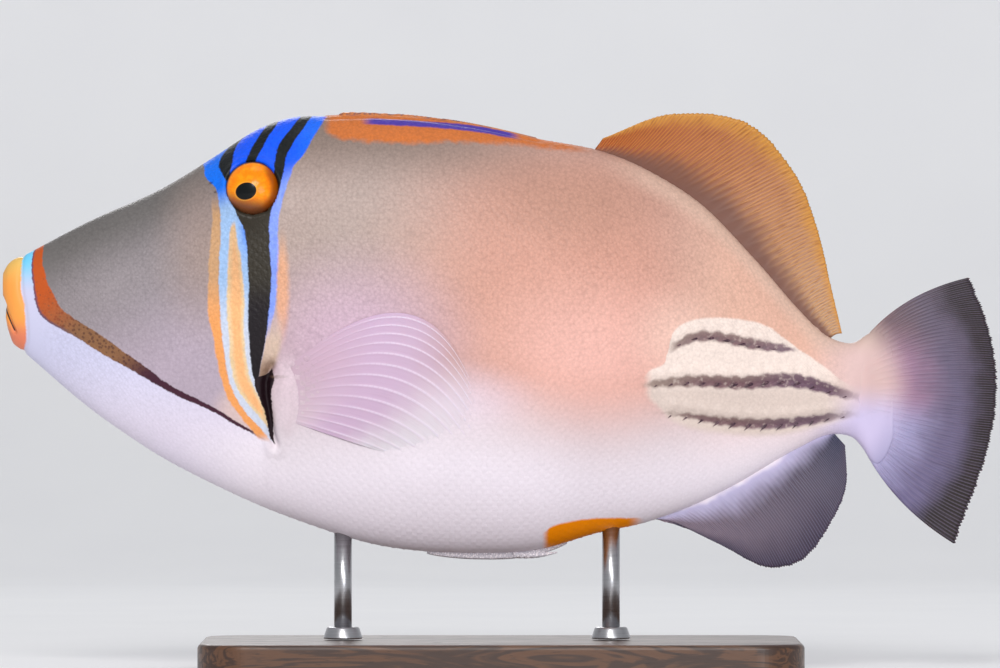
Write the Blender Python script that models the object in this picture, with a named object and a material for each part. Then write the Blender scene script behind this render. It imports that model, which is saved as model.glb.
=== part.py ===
"""Still, life-size model of a picasso triggerfish on a plain display stand.

Metres, +Z up. The fish swims towards -X and its left flank faces -Y. The origin is under the middle of the
whole piece, on the underside of the stand. In the tables below a place is given in millimetres: first the
distance back from the nose tip, then the height above the underside of the stand.
"""

import math

import bmesh
import bpy
import numpy as np
from mathutils import Matrix, Vector

MM = 0.001
GAP = 0.3 * MM

# Driving dimensions of the fish, in millimetres back from the nose tip.
TOTAL_LENGTH = 249.0
LIP_END = 5.8
HEAD_END = 71.8
TORSO_END = 158.0
STALK_END = 213.0

# The outline of the body without its fins, as the side view shows it.
BACK_LINE = [
    (0, 99.5), (1, 101.2), (2.5, 102.5), (7.5, 105.3), (20, 111.8), (40, 121), (54, 129.4), (64, 135.6),
    (71, 138.3), (82, 139.1), (102, 138.7), (118, 136.7), (134, 133.4), (149, 130.3), (160, 126.1),
    (174, 117.3), (188, 103.2), (199, 90.6), (207, 83.6), (216, 80.8),
]
BELLY_LINE = [
    (0, 93.5), (1, 87), (2, 83.9), (4.2, 81.2), (9.2, 76.6), (19, 68.2), (34, 57.2), (49, 48.8), (64, 41.8),
    (79, 36.1), (99, 30.8), (119, 29.8), (134, 30.7), (149, 34.9), (160, 37.2), (169, 40.2), (182, 46.2),
    (199, 56), (207, 59.8), (216, 59.6),
]
HALF_WIDTH = [
    (0, 2.4), (1, 3.8), (2.5, 4.8), (5.8, 6), (10, 7.3), (20, 10), (35, 13.3), (50, 16.1), (65, 18.6),
    (80, 20.6), (100, 22), (120, 21.6), (140, 19.4), (160, 15.2), (180, 10.4), (195, 7.2), (205, 5.5),
    (216, 4.2),
]
# How full the section is above and below its widest level: 2 is an ellipse, less is a keel.
FULLNESS_ABOVE = 2.0
FULLNESS_BELOW = 1.8
AROUND = 32
STATION_STEP = 4.4 * MM

# The eyes: flattened balls that look out and a little forward.
EYE_PLACE = (62.8, 120.6)
EYE_RADIUS = 7.0 * MM
EYE_DEPTH = 5.0 * MM
EYE_SUNK = 1.9 * MM
EYE_FORWARD = math.radians(10)
EYE_UP = math.radians(12)

# The mouth line between the lips, seen from the side.
MOUTH_LINE = [(-3, 98), (0.9, 91), (2.2, 87.4), (3.4, 84.9), (7, 83)]

# The gill slit, in front of the pectoral fin, and the nostrils in front of the eye.
GILL_TOP, GILL_BOTTOM = (65.4, 73), (68.3, 57.2)
GILL_HALF_OPENING = 0.8 * MM
GILL_DEPTH = 2.2 * MM
NOSTRILS = [(52.2, 122.2), (53.4, 119.8)]
NOSTRIL_RADIUS = 0.6 * MM

# Bony scutes behind the gill slit.
SCUTES = [(74.1, 81.2), (74.6, 84.8), (77.7, 83.9), (78.4, 87.5)]
SCUTE_RADIUS = 1.7 * MM
SCUTE_RISE = 0.5 * MM

# Rows of small thorns on each side of the tail stalk: the row's line and how many thorns.
THORN_ROWS = [
    ([(168, 81.2), (174, 83.5), (182, 83.8), (189, 82.6), (196, 81)], 7),
    ([(162, 72), (170, 73), (184, 73), (199, 72.4), (206, 71), (211.5, 69.4)], 12),
    ([(169, 64.4), (176, 62.6), (190, 62), (204, 63.2), (211.5, 64.3)], 10),
]
THORN_HEIGHT = 1.5 * MM
THORN_RADIUS = 0.8 * MM
THORN_SUNK = 0.7 * MM
THORN_LEAN = 0.7

# The first dorsal fin, folded back into its groove, with its three spines.
FOLD_START, FOLD_END = 80.0, 134.0
FOLD_HALF_WIDTH = 2.6 * MM
FOLD_DEPTH = 3.0 * MM
FOLD_RISE = 0.25 * MM
FOLD_SPINES = [(83.5, 116, 1.15 * MM), (97, 122, 0.85 * MM), (109, 128, 0.6 * MM)]

# The pelvic flap, a low keel on the belly that ends in a short rough spine.
FLAP_START, FLAP_END = 106.0, 141.0
FLAP_DROP = 1.3 * MM
FLAP_HALF_WIDTH = 0.8 * MM
PELVIC_SPINE = [(128, 29.6), (134, 29.3), (138.6, 29.9)]
PELVIC_SPINE_RADIUS = 1.1 * MM

# The fins. Each line is read from the first ray to the last: where the rays leave the body, where they bend
# and where they end. A third number is how far that point lies off the middle plane.
DORSAL_FIN = {
    "root": [(147, 129.5), (155, 127), (165, 121.5), (176, 114), (187, 102.5), (197, 91), (206.5, 83)],
    "knee": [(149, 132), (162, 132, -0.6), (177, 130.5, -1), (190, 121, 0.8), (197, 108.5, 1.6),
             (203, 95.5, 0.6), (208, 84.8)],
    "tip": [(150, 133.5), (167, 139.6, -1.6), (186, 137.4, -2), (198, 125, 1.6), (203.8, 111, 3.2),
            (207, 97, 1), (209.8, 84.6)],
    "rays": 25,
    "steps": 5,
}
ANAL_FIN = {
    "root": [(161, 38.4), (168, 40.8), (176, 44), (185, 48.8), (194, 54.4), (201, 58.6), (206.8, 60.8)],
    "knee": [(166, 37.9), (176, 36, 0.5), (186, 36.4, 0.8), (194, 40.5), (201, 47.5, -1.2), (206, 53.4, -1),
             (208.6, 58.8)],
    "tip": [(168, 37.4), (180, 31.4, 1.4), (191, 26, 2), (200.5, 28.2), (207.2, 37.6, -2.8),
            (210.8, 46.2, -2.2), (210.6, 56.6)],
    "rays": 23,
    "steps": 5,
}
CAUDAL_FIN = {
    "root": [(0, 80.6), (0, 75.5), (0, 70), (0, 64.8), (0, 59.8)],
    "knee": [(223, 94.6, 0.6), (230, 86, 0.8), (231, 70.4, 0.8), (228.6, 56, 0.8), (220.6, 42.4, 0.6)],
    "tip": [(242.2, 98.8, 3), (247.4, 84.4, 4.6), (249, 69.4, 5), (246, 53, 4.4), (238.2, 31.8, 2.6)],
    "rays": 13,
    "steps": 5,
}
PECTORAL_FIN = {
    "root": [(70, 75), (70.2, 72.2), (70.4, 69.2), (70.4, 66.2), (70.2, 63.4)],
    "knee": [(105, 106, -5.6), (104, 97, -5.8), (101, 84, -5.8), (94.6, 69, -5), (84, 58.6, -3.2)],
    "tip": [(117.4, 72, -5.4), (118.8, 64.6, -5.8), (116.6, 57.8, -5.8), (108.6, 54.4, -5.4), (95.4, 55, -4.6)],
    "rays": 13,
    "steps": 8,
}
RAY_RISE = 0.22 * MM
MEMBRANE_EDGE = 0.52 * MM
SCALLOP = 0.022

# The stand: a flat base and two short rods.
BASE_LENGTH, BASE_WIDTH, BASE_HEIGHT = 150 * MM, 84 * MM, 8 * MM
BASE_CORNER, BASE_CHAMFER = 12 * MM, 1.2 * MM
ROD_RADIUS = 2.2 * MM
ROD_PLACES = [85.0, 152.0]
COLLAR_RADIUS, COLLAR_HEIGHT = 5 * MM, 3 * MM

SKIN = (0.80, 0.62, 0.55)
SNOUT = (0.62, 0.53, 0.52)
ORANGE = (0.95, 0.48, 0.12)
AMBER = (0.80, 0.48, 0.16)
LILAC = (0.66, 0.60, 0.72)


def world(back, up, off=0.0):
    """The world place of a point of the side view, all in millimetres."""
    return Vector(((back - TOTAL_LENGTH / 2) * MM, off * MM, up * MM))


def smooth_line(points):
    """A smooth function through (place, value) points in millimetres. It takes and gives metres."""
    place, value = np.array(points, float).T * MM
    slope = np.gradient(value, place)

    def at(x):
        x = np.clip(x, place[0], place[-1])
        i = np.clip(np.searchsorted(place, x) - 1, 0, len(place) - 2)
        span = place[i + 1] - place[i]
        t = (x - place[i]) / span
        start = value[i] * (1 + 2 * t) * (1 - t) ** 2 + slope[i] * span * t * (1 - t) ** 2
        end = value[i + 1] * t * t * (3 - 2 * t) - slope[i + 1] * span * t * t * (1 - t)
        return start + end

    return at


back_line = smooth_line(BACK_LINE)
belly_line = smooth_line(BELLY_LINE)
half_width = smooth_line(HALF_WIDTH)


def fullness(level):
    """The section's exponent at a level from -1, the belly, to 1, the back."""
    return np.where(np.asarray(level) > 0, FULLNESS_ABOVE, FULLNESS_BELOW)


def flank(back, up):
    """How far the body's side stands off the middle plane at a place of the side view, in metres."""
    top, bottom = back_line(back * MM), belly_line(back * MM)
    level = np.clip((2 * up * MM - top - bottom) / (top - bottom), -1, 1)
    power = fullness(level)
    return float(half_width(back * MM) * (1 - abs(level) ** power) ** (1 / power))


def flank_point(back, up, side):
    """The point of the body's side over a place of the side view, and the way the surface faces there."""
    here = world(back, up, side * flank(back, up) / MM)
    nudge = 0.5
    ahead = world(back + nudge, up, side * flank(back + nudge, up) / MM)
    above = world(back, up + nudge, side * flank(back, up + nudge) / MM)
    facing = (ahead - here).cross(above - here).normalized()
    return here, facing if facing.y * side > 0 else -facing


def stations(start, end):
    """Places along the body between two cuts, closer together at the blunt front, in metres."""
    front = [p for p in (0.5, 1.2, 2.2, 3.6) if start < p < end]
    first = max(start, 4.6) * MM
    if end * MM <= first:
        return np.array([start, *front, end]) * MM
    count = max(2, round((end * MM - first) / STATION_STEP))
    rest = np.linspace(first, end * MM, count + 1)
    return np.concatenate([np.array([start, *front]) * MM, rest]) if front else rest


def section(place, grow):
    """The body's cross-section at one place, as a ring of points from the back round the left side."""
    top, bottom = back_line(place) + grow, belly_line(place) - grow
    turn = np.linspace(0, 2 * math.pi, AROUND, endpoint=False)
    level = np.cos(turn)
    power = fullness(level)
    width = (half_width(place) + grow) * (1 - np.abs(level) ** power) ** (1 / power)
    up = (top + bottom) / 2 + level * (top - bottom) / 2
    x = place - TOTAL_LENGTH / 2 * MM
    return [Vector((x, y, z)) for y, z in zip(-width * np.sign(np.sin(turn)), up)]


def new_object(name, mesh_data, collection, smooth=True):
    """A new object for a bmesh, with its normals pointing out."""
    bmesh.ops.recalc_face_normals(mesh_data, faces=mesh_data.faces)
    mesh = bpy.data.meshes.new(name)
    mesh_data.to_mesh(mesh)
    mesh_data.free()
    if smooth:
        mesh.shade_smooth()
        mesh.set_sharp_from_angle(angle=math.radians(50))
    obj = bpy.data.objects.new(name, mesh)
    collection.objects.link(obj)
    return obj


def loft(rings):
    """A closed bmesh through rings of points, with flat ends."""
    made = bmesh.new()
    rows = [[made.verts.new(p) for p in ring] for ring in rings]
    count = len(rows[0])
    for row, after in zip(rows, rows[1:]):
        for i in range(count):
            j = (i + 1) % count
            made.faces.new((row[i], row[j], after[j], after[i]))
    made.faces.new(rows[0])
    made.faces.new(reversed(rows[-1]))
    bmesh.ops.triangulate(made, faces=made.faces)
    return made


def body_length(name, start, end, collection, grow=0.0):
    """One length of the body, from one cut to the next."""
    rings = [section(place, grow) for place in stations(start, end)]
    return new_object(name, loft(rings), collection)


def helper(obj):
    """Marks an object as a cutter, which isn't part of the model."""
    obj.hide_render = True
    obj.display_type = "WIRE"
    return obj


def cut(obj, cutter, operation="DIFFERENCE", solver="EXACT"):
    """Cuts one object with another by a Boolean that stays on it."""
    modifier = obj.modifiers.new(f"{operation.lower()}_{cutter.name}", "BOOLEAN")
    modifier.operation = operation
    modifier.solver = solver
    modifier.object = cutter
    return obj


def keep_largest(mesh):
    """Drops every loose shell of a mesh but the one that holds the most."""
    made = bmesh.new()
    made.from_mesh(mesh)
    left, shells = set(made.faces), []
    while left:
        shell, queue = set(), [left.pop()]
        while queue:
            face = queue.pop()
            shell.add(face)
            near = {f for edge in face.edges for f in edge.link_faces} & left
            left -= near
            queue.extend(near)
        shells.append(shell)
    if len(shells) > 1:
        size = [sum(f.calc_area() for f in shell) for shell in shells]
        kept = shells[size.index(max(size))]
        loose = [f for shell in shells if shell is not kept for f in shell]
        bmesh.ops.delete(made, geom=loose, context="FACES")
        made.to_mesh(mesh)
    made.free()


def apply_all(obj):
    """Makes an object's modifiers permanent and keeps its largest shell."""
    graph = bpy.context.evaluated_depsgraph_get()
    mesh = bpy.data.meshes.new_from_object(obj.evaluated_get(graph))
    obj.modifiers.clear()
    obj.data = mesh
    keep_largest(mesh)
    return obj


def fuse(obj, pieces, solver="EXACT"):
    """Joins many closed pieces to an object by one Boolean union, and removes the pieces."""
    modifier = obj.modifiers.new("union", "BOOLEAN")
    modifier.operation = "UNION"
    modifier.solver = solver
    modifier.operand_type = "COLLECTION"
    modifier.collection = pieces
    bpy.context.view_layer.update()
    apply_all(obj)
    for piece in list(pieces.objects):
        bpy.data.objects.remove(piece)
    bpy.data.collections.remove(pieces)
    return obj


def paint(obj, colour, roughness=0.5, metallic=0.0):
    """Gives an object its own Principled material."""
    material = bpy.data.materials.new(obj.name)
    material.use_nodes = True
    shader = material.node_tree.nodes["Principled BSDF"]
    shader.inputs["Base Color"].default_value = (*colour, 1)
    shader.inputs["Roughness"].default_value = roughness
    shader.inputs["Metallic"].default_value = metallic
    obj.data.materials.clear()
    obj.data.materials.append(material)
    return obj


def new_collection(name):
    """A new collection in the scene."""
    made = bpy.data.collections.new(name)
    bpy.context.scene.collection.children.link(made)
    return made


def ball(name, collection, matrix, segments=16, rings=10):
    """A ball of radius 1 that a matrix sizes and places."""
    made = bmesh.new()
    bmesh.ops.create_uvsphere(made, u_segments=segments, v_segments=rings, radius=1)
    bmesh.ops.transform(made, matrix=matrix, verts=made.verts)
    return new_object(name, made, collection)


def prism(name, outline, half_thickness, collection):
    """A plate with an outline in the side view, as thick to the left of the middle plane as to the right."""
    made = bmesh.new()
    face = made.faces.new([made.verts.new(world(b, u, -half_thickness / MM)) for b, u in outline])
    grown = bmesh.ops.extrude_face_region(made, geom=[face])["geom"]
    moved = [v for v in grown if isinstance(v, bmesh.types.BMVert)]
    bmesh.ops.translate(made, vec=(0, 2 * half_thickness, 0), verts=moved)
    return new_object(name, made, collection, smooth=False)


def eye_matrix(side, grow=0.0):
    """Where an eye lies, how it is turned and how large it is."""
    centre, facing = flank_point(*EYE_PLACE, side)
    centre.y -= side * EYE_SUNK
    turn = Matrix.Rotation(side * EYE_FORWARD, 4, "Z") @ Matrix.Rotation(side * EYE_UP, 4, "X")
    size = Matrix.Diagonal((EYE_RADIUS + grow, EYE_DEPTH + grow, EYE_RADIUS + grow, 1))
    return Matrix.Translation(centre) @ turn @ size @ Matrix.Rotation(math.pi / 2, 4, "X")


def make_lips(part, cutters):
    """The upper and lower lip, parted by the mouth line."""
    far = 40.0
    for name, shift, keep in (("lip_upper", 0.15, "DIFFERENCE"), ("lip_lower", -0.15, "INTERSECT")):
        line = [(b + shift, u + shift / 2) for b, u in MOUTH_LINE]
        outline = [*line, (line[-1][0], far), (line[0][0], far)]
        below = helper(prism(f"below_{name}", outline, 12 * MM, cutters))
        lip = body_length(name, 0, LIP_END, part)
        paint(apply_all(cut(lip, below, keep)), ORANGE, 0.4)


def make_head(part, cutters):
    """The head behind the lips, with its eye sockets, nostrils and gill slits, and the eyes."""
    head = body_length("head", LIP_END + GAP / MM, HEAD_END, part)
    for side, name in ((-1, "left"), (1, "right")):
        cut(head, helper(ball(f"socket_{name}", cutters, eye_matrix(side, GAP))))
        paint(ball(f"eye_{name}", part, eye_matrix(side)), ORANGE, 0.15)
        for i, place in enumerate(NOSTRILS):
            at, _ = flank_point(*place, side)
            size = Matrix.Translation(at) @ Matrix.Scale(NOSTRIL_RADIUS, 4)
            cut(head, helper(ball(f"nostril_{name}_{i}", cutters, size, 8, 6)))
        middle = [(a + b) / 2 for a, b in zip(GILL_TOP, GILL_BOTTOM)]
        at, _ = flank_point(*middle, side)
        lean = math.atan2(GILL_BOTTOM[0] - GILL_TOP[0], GILL_TOP[1] - GILL_BOTTOM[1])
        half = math.dist(GILL_TOP, GILL_BOTTOM) / 2 * MM
        tilt = math.atan2(flank(*GILL_TOP) - flank(*GILL_BOTTOM), 2 * half) * side
        size = Matrix.Diagonal((GILL_HALF_OPENING, GILL_DEPTH, half, 1))
        matrix = Matrix.Translation(at) @ Matrix.Rotation(-tilt, 4, "X") @ Matrix.Rotation(lean, 4, "Y") @ size
        cut(head, helper(ball(f"gill_{name}", cutters, matrix, 12, 12)))
    return paint(apply_all(head), SNOUT)


def fold_ring(share, place, grow):
    """The section of the folded first dorsal fin, which tapers towards both ends."""
    swell = math.sin(math.pi * share) ** 0.5
    half = FOLD_HALF_WIDTH * (0.45 + 0.55 * swell) + grow
    top = back_line(place * MM) + FOLD_RISE * swell + grow
    deep = FOLD_DEPTH * (0.6 + 0.4 * swell) + 2 * grow
    ring = []
    for i in range(10):
        turn = 2 * math.pi * i / 10
        up = top - deep / 2 + deep / 2 * math.cos(turn)
        ring.append(Vector(((place - TOTAL_LENGTH / 2) * MM, -half * math.sin(turn), up)))
    return ring


def folded_fin(name, collection, grow=0.0):
    """The folded membrane of the first dorsal fin, as one slim closed body along the back."""
    shares = np.linspace(0, 1, 15)
    rings = [fold_ring(s, FOLD_START + s * (FOLD_END - FOLD_START), grow) for s in shares]
    return new_object(name, loft(rings), collection)


def spine(name, points, radius, collection, sides=6):
    """A tapered spine through a few world points."""
    rings = []
    for i, point in enumerate(points):
        along = (points[min(i + 1, len(points) - 1)] - points[max(i - 1, 0)]).normalized()
        turn = along.to_track_quat("X", "Z").to_matrix()
        size = radius * (1 - 0.85 * (i / (len(points) - 1)) ** 1.5)
        steps = [2 * math.pi * k / sides for k in range(sides)]
        rings.append([point + turn @ Vector((0, size * math.cos(a), size * math.sin(a))) for a in steps])
    return new_object(name, loft(rings), collection)


def make_first_dorsal(part, torso, cutters):
    """The first dorsal fin, folded down with its three spines along the top, in its groove."""
    cut(torso, helper(folded_fin("groove", cutters, GAP)))
    fin = folded_fin("dorsal_fin_first", part)
    spines = new_collection("spines")
    for i, (start, end, radius) in enumerate(FOLD_SPINES):
        places = np.linspace(start, end, 6)
        lift = (FOLD_RISE - 0.6 * radius) / MM
        points = [world(p, back_line(p * MM) / MM + lift) for p in places]
        spine(f"spine_{i}", points, radius, spines)
    fuse(fin, spines)
    return paint(fin, AMBER)


def make_scutes(torso):
    """Bony scutes, raised on the body behind each gill slit."""
    plates = new_collection("scutes")
    for side in (-1, 1):
        for i, place in enumerate(SCUTES):
            at, facing = flank_point(*place, side)
            made = bmesh.new()
            bmesh.ops.create_cone(
                made, cap_ends=True, segments=6, radius1=SCUTE_RADIUS, radius2=SCUTE_RADIUS * 0.7,
                depth=4 * SCUTE_RISE,
            )
            turn = facing.to_track_quat("Z", "Y").to_matrix().to_4x4()
            sunk = Matrix.Translation((0, 0, -SCUTE_RISE))
            bmesh.ops.transform(made, matrix=Matrix.Translation(at) @ turn @ sunk, verts=made.verts)
            new_object(f"scute_{side}_{i}", made, plates, smooth=False)
    return fuse(torso, plates)


def make_flap(part, body_grown):
    """The pelvic flap under the belly, with the rough spine that ends it."""
    places = np.linspace(FLAP_START, FLAP_END, 15)
    rings = []
    for share, place in zip(np.linspace(0, 1, 15), places):
        drop = FLAP_DROP * math.sin(math.pi * share) ** 0.7 + 0.12 * MM
        low = belly_line(place * MM) - drop - GAP
        x = (place - TOTAL_LENGTH / 2) * MM
        half, top = FLAP_HALF_WIDTH, low + drop + 2.2 * MM
        rings.append([
            Vector((x, -half, top)), Vector((x, -half, low + 0.5 * MM)), Vector((x, -half * 0.35, low)),
            Vector((x, half * 0.35, low)), Vector((x, half, low + 0.5 * MM)), Vector((x, half, top)),
        ])
    flap = new_object("pelvic_flap", loft(rings), part)
    spines = new_collection("pelvic_spines")
    spine("pelvic", [world(b, u) for b, u in PELVIC_SPINE], PELVIC_SPINE_RADIUS, spines)
    fuse(flap, spines)
    return paint(apply_all(cut(flap, body_grown)), (0.82, 0.80, 0.84))


def make_thorns(stalk):
    """Three rows of small thorns on each side of the tail stalk, leaning towards the head."""
    thorns = new_collection("thorns")
    for row, (line, count) in enumerate(THORN_ROWS):
        places = np.linspace(line[0][0], line[-1][0], count)
        level = smooth_line(line)
        for i, place in enumerate(places):
            swell = 0.65 + 0.35 * math.sin(math.pi * (i + 0.5) / count)
            for side in (-1, 1):
                at, facing = flank_point(place, level(place * MM) / MM, side)
                made = bmesh.new()
                depth = THORN_HEIGHT * swell + THORN_SUNK
                bmesh.ops.create_cone(
                    made, cap_ends=True, segments=5, radius1=THORN_RADIUS, radius2=THORN_RADIUS * 0.12,
                    depth=depth,
                )
                turn = facing.to_track_quat("Z", "Y").to_matrix().to_4x4()
                lift = Matrix.Translation((0, 0, depth / 2 - THORN_SUNK))
                bmesh.ops.transform(made, matrix=Matrix.Translation(at) @ turn @ lift, verts=made.verts)
                tips = [v for v in made.verts if (v.co - at).dot(facing) > 0]
                lean = Vector((-THORN_LEAN * THORN_HEIGHT * swell, 0, 0))
                bmesh.ops.translate(made, vec=lean, verts=tips)
                new_object(f"thorn_{row}_{i}_{side}", made, thorns)
    return fuse(stalk, thorns)


def line_in_space(points):
    """A smooth function from 0 to 1 along points of the side view that may lie off the middle plane."""
    full = np.array([(*p, 0)[:3] for p in points], float)
    share = np.linspace(0, 1, len(full)) / MM
    axes = [smooth_line(list(zip(share, full[:, k]))) for k in range(3)]
    return lambda t: np.array([axis(t) / MM for axis in axes])


def fin_columns(rays):
    """Where the columns of a fin's mesh lie from first ray to last, and which of them are on a ray."""
    shares, crest = [0.0], [0.0]
    for i in range(rays):
        middle = (i + 0.5) / rays
        for offset in (-0.17, 0.17):
            shares.append(middle + offset / rays)
            crest.append(1.0)
        shares.append((i + 1) / rays)
        crest.append(0.0)
    return np.array(shares), np.array(crest)


def make_fin(name, shape, collection, thickness, mirror=1, root_at=None, off=None):
    """A fin as one thin closed body, with its rays raised on both faces.

    thickness gives the membrane at a share along the fin and a share out from the root. root_at replaces the
    root's place along the body, and off adds to how far a point lies off the middle plane.
    """
    shares, crest = fin_columns(shape["rays"])
    lines = {key: line_in_space(shape[key]) for key in ("root", "knee", "tip")}
    outward = np.linspace(0, 1, shape["steps"] + 1)
    grid = np.empty((len(shares), len(outward), 3))
    thick = np.empty(grid.shape[:2])
    for i, share in enumerate(shares):
        root, knee, tip = (lines[key](share) for key in ("root", "knee", "tip"))
        if root_at is not None:
            root[0] = root_at
        reach = 1 - (SCALLOP if crest[i] == 0 else 0)
        for j, out in enumerate(outward * reach):
            point = root * (1 - out) ** 2 + 2 * knee * out * (1 - out) + tip * out * out
            if off is not None:
                point[2] += off(point, out)
            grid[i, j] = world(point[0], point[1], point[2] * mirror)
            thick[i, j] = thickness(share, out) + 2 * RAY_RISE * crest[i] * min(1, 4 * out)
    normal = np.cross(np.gradient(grid, axis=0), np.gradient(grid, axis=1))
    normal /= np.linalg.norm(normal, axis=2, keepdims=True)
    faces = [grid + normal * thick[..., None] / 2, grid - normal * thick[..., None] / 2]
    made = bmesh.new()
    left, right = ([[made.verts.new(p) for p in row] for row in face] for face in faces)
    columns, steps = grid.shape[:2]
    for i in range(columns - 1):
        for j in range(steps - 1):
            for sheet in (left, right):
                a, b, c, d = sheet[i][j], sheet[i + 1][j], sheet[i + 1][j + 1], sheet[i][j + 1]
                made.faces.new((a, b, c))
                made.faces.new((a, c, d))
    rim = [(i, 0) for i in range(columns)] + [(columns - 1, j) for j in range(1, steps)]
    rim += [(i, steps - 1) for i in range(columns - 2, -1, -1)] + [(0, j) for j in range(steps - 2, 0, -1)]
    for (i, j), (k, m) in zip(rim, rim[1:] + rim[:1]):
        made.faces.new((left[i][j], left[k][m], right[k][m]))
        made.faces.new((left[i][j], right[k][m], right[i][j]))
    return new_object(name, made, collection)


def thin_fin(root, fall):
    """A membrane that thins from its root to its edge."""
    return lambda share, out: MEMBRANE_EDGE + (root - MEMBRANE_EDGE) * (1 - out) ** fall


def tail_fan(share, out):
    """The tail fin's thickness: as full as the end of the tail stalk at its root, thin beyond it."""
    end = 2 * half_width(STALK_END * MM)
    full = math.sqrt(max(0.0, 1 - (2 * share - 1) ** 2))
    return MEMBRANE_EDGE + (0.95 * end * full - MEMBRANE_EDGE * full) * (1 - out) ** 5


def pectoral_off(point, out):
    """Carries the pectoral fin from the body's side, with its root sunk in, out to open water."""
    sunk = 2.4 * (1 - out) ** 4
    return -flank(min(point[0], 100), point[1]) / MM * (1 - 0.12 * out) + sunk


def make_fins(part, body_grown):
    """All the fins but the first dorsal, each trimmed where it meets the body."""
    middle = (("dorsal_fin_second", DORSAL_FIN, AMBER), ("anal_fin", ANAL_FIN, LILAC))
    for name, shape, colour in middle:
        fin = make_fin(name, shape, part, thin_fin(1.7 * MM, 2))
        paint(apply_all(cut(fin, body_grown)), colour)
    tail = make_fin("caudal_fin", CAUDAL_FIN, part, tail_fan, root_at=STALK_END + GAP / MM)
    paint(tail, LILAC)
    for mirror, name in ((1, "left"), (-1, "right")):
        fin = make_fin(
            f"pectoral_fin_{name}", PECTORAL_FIN, part, thin_fin(2.6 * MM, 5), mirror, off=pectoral_off
        )
        paint(apply_all(cut(fin, body_grown)), LILAC)


def make_stand(part, body_grown):
    """The display stand: a flat base with rounded corners and two rods up to the belly."""
    made = bmesh.new()
    bmesh.ops.create_cube(made, size=1)
    size = Matrix.Diagonal((BASE_LENGTH, BASE_WIDTH, BASE_HEIGHT, 1))
    bmesh.ops.transform(made, matrix=Matrix.Translation((0, 0, BASE_HEIGHT / 2)) @ size, verts=made.verts)
    corners = [e for e in made.edges if abs(e.verts[0].co.z - e.verts[1].co.z) > BASE_HEIGHT / 2]
    bmesh.ops.bevel(made, geom=corners, offset=BASE_CORNER, segments=6, profile=0.5, affect="EDGES")
    top = [e for e in made.edges if all(v.co.z > BASE_HEIGHT * 0.99 for v in e.verts)]
    bmesh.ops.bevel(made, geom=top, offset=BASE_CHAMFER, segments=2, profile=0.5, affect="EDGES")
    paint(new_object("stand_base", made, part), (0.10, 0.07, 0.05), 0.4)
    for i, place in enumerate(ROD_PLACES):
        low = BASE_HEIGHT + GAP
        high = belly_line(place * MM) + 2 * MM
        made = bmesh.new()
        centre = Matrix.Translation((world(place, 0).x, 0, (low + high) / 2))
        bmesh.ops.create_cone(
            made, cap_ends=True, segments=20, radius1=ROD_RADIUS, radius2=ROD_RADIUS, depth=high - low,
            matrix=centre,
        )
        rod = new_object(f"stand_rod_{i + 1}", made, part)
        collar = new_collection("collar")
        made = bmesh.new()
        centre = Matrix.Translation((world(place, 0).x, 0, low + COLLAR_HEIGHT / 2))
        bmesh.ops.create_cone(
            made, cap_ends=True, segments=20, radius1=COLLAR_RADIUS, radius2=COLLAR_RADIUS * 0.8,
            depth=COLLAR_HEIGHT, matrix=centre,
        )
        new_object("collar", made, collar)
        fuse(rod, collar)
        paint(apply_all(cut(rod, body_grown)), (0.75, 0.72, 0.66), 0.3, 1.0)


def main():
    """Builds the fish and its stand."""
    for obj in list(bpy.data.objects):
        bpy.data.objects.remove(obj)
    part = new_collection("picasso_triggerfish")
    cutters = new_collection("cutters")
    body_grown = helper(body_length("body_grown", 0, STALK_END, cutters, GAP))
    make_lips(part, cutters)
    make_head(part, cutters)
    torso = body_length("torso", HEAD_END + GAP / MM, TORSO_END, part)
    make_first_dorsal(part, torso, cutters)
    apply_all(torso)
    make_scutes(torso)
    paint(torso, SKIN)
    stalk = body_length("tail_stalk", TORSO_END + GAP / MM, STALK_END, part)
    make_thorns(stalk)
    paint(stalk, SKIN)
    make_flap(part, body_grown)
    make_fins(part, body_grown)
    make_stand(part, body_grown)


main()
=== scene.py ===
"""A museum model of a picasso triggerfish on a plain stand: its skin, scales, fins, eyes, light and camera.

Sizes are in millimetres until a mesh is made. A place on the fish is given as in the side view: how far it
lies back from the nose tip, and how high above the underside of the stand.
"""

import logging
import math
from collections.abc import Callable, Sequence
from dataclasses import dataclass, field
from enum import Enum
from functools import reduce

import bmesh
import bpy
import numpy as np
from mathutils import Matrix, Vector


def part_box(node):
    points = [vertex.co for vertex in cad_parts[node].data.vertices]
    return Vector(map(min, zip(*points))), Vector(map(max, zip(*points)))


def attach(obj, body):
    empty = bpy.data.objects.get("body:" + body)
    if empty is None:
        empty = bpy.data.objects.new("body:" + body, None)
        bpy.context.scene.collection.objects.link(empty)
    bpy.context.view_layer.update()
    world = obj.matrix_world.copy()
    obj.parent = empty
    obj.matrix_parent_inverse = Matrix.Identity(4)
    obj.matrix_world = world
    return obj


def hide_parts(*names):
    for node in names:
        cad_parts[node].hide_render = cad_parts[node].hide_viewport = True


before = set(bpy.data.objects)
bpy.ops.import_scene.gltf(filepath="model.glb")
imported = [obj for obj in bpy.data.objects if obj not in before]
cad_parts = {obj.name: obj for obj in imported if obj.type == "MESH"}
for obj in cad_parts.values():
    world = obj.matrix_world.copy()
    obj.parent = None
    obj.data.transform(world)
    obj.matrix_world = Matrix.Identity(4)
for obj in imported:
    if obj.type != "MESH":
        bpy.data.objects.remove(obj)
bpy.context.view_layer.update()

LOG = logging.getLogger("triggerfish")
MM = 0.001
LENGTH = 249.0
Points = Sequence[tuple[float, ...]]
Colour = tuple[float, float, float]
Spot = tuple[float, float]
Array = np.ndarray
Socket = bpy.types.NodeSocket
Material = bpy.types.Material
Piece = bpy.types.Object
Shape = bmesh.types.BMesh
Placing = Callable[[Array, Array], Array]
TINY = 1e-9
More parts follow.
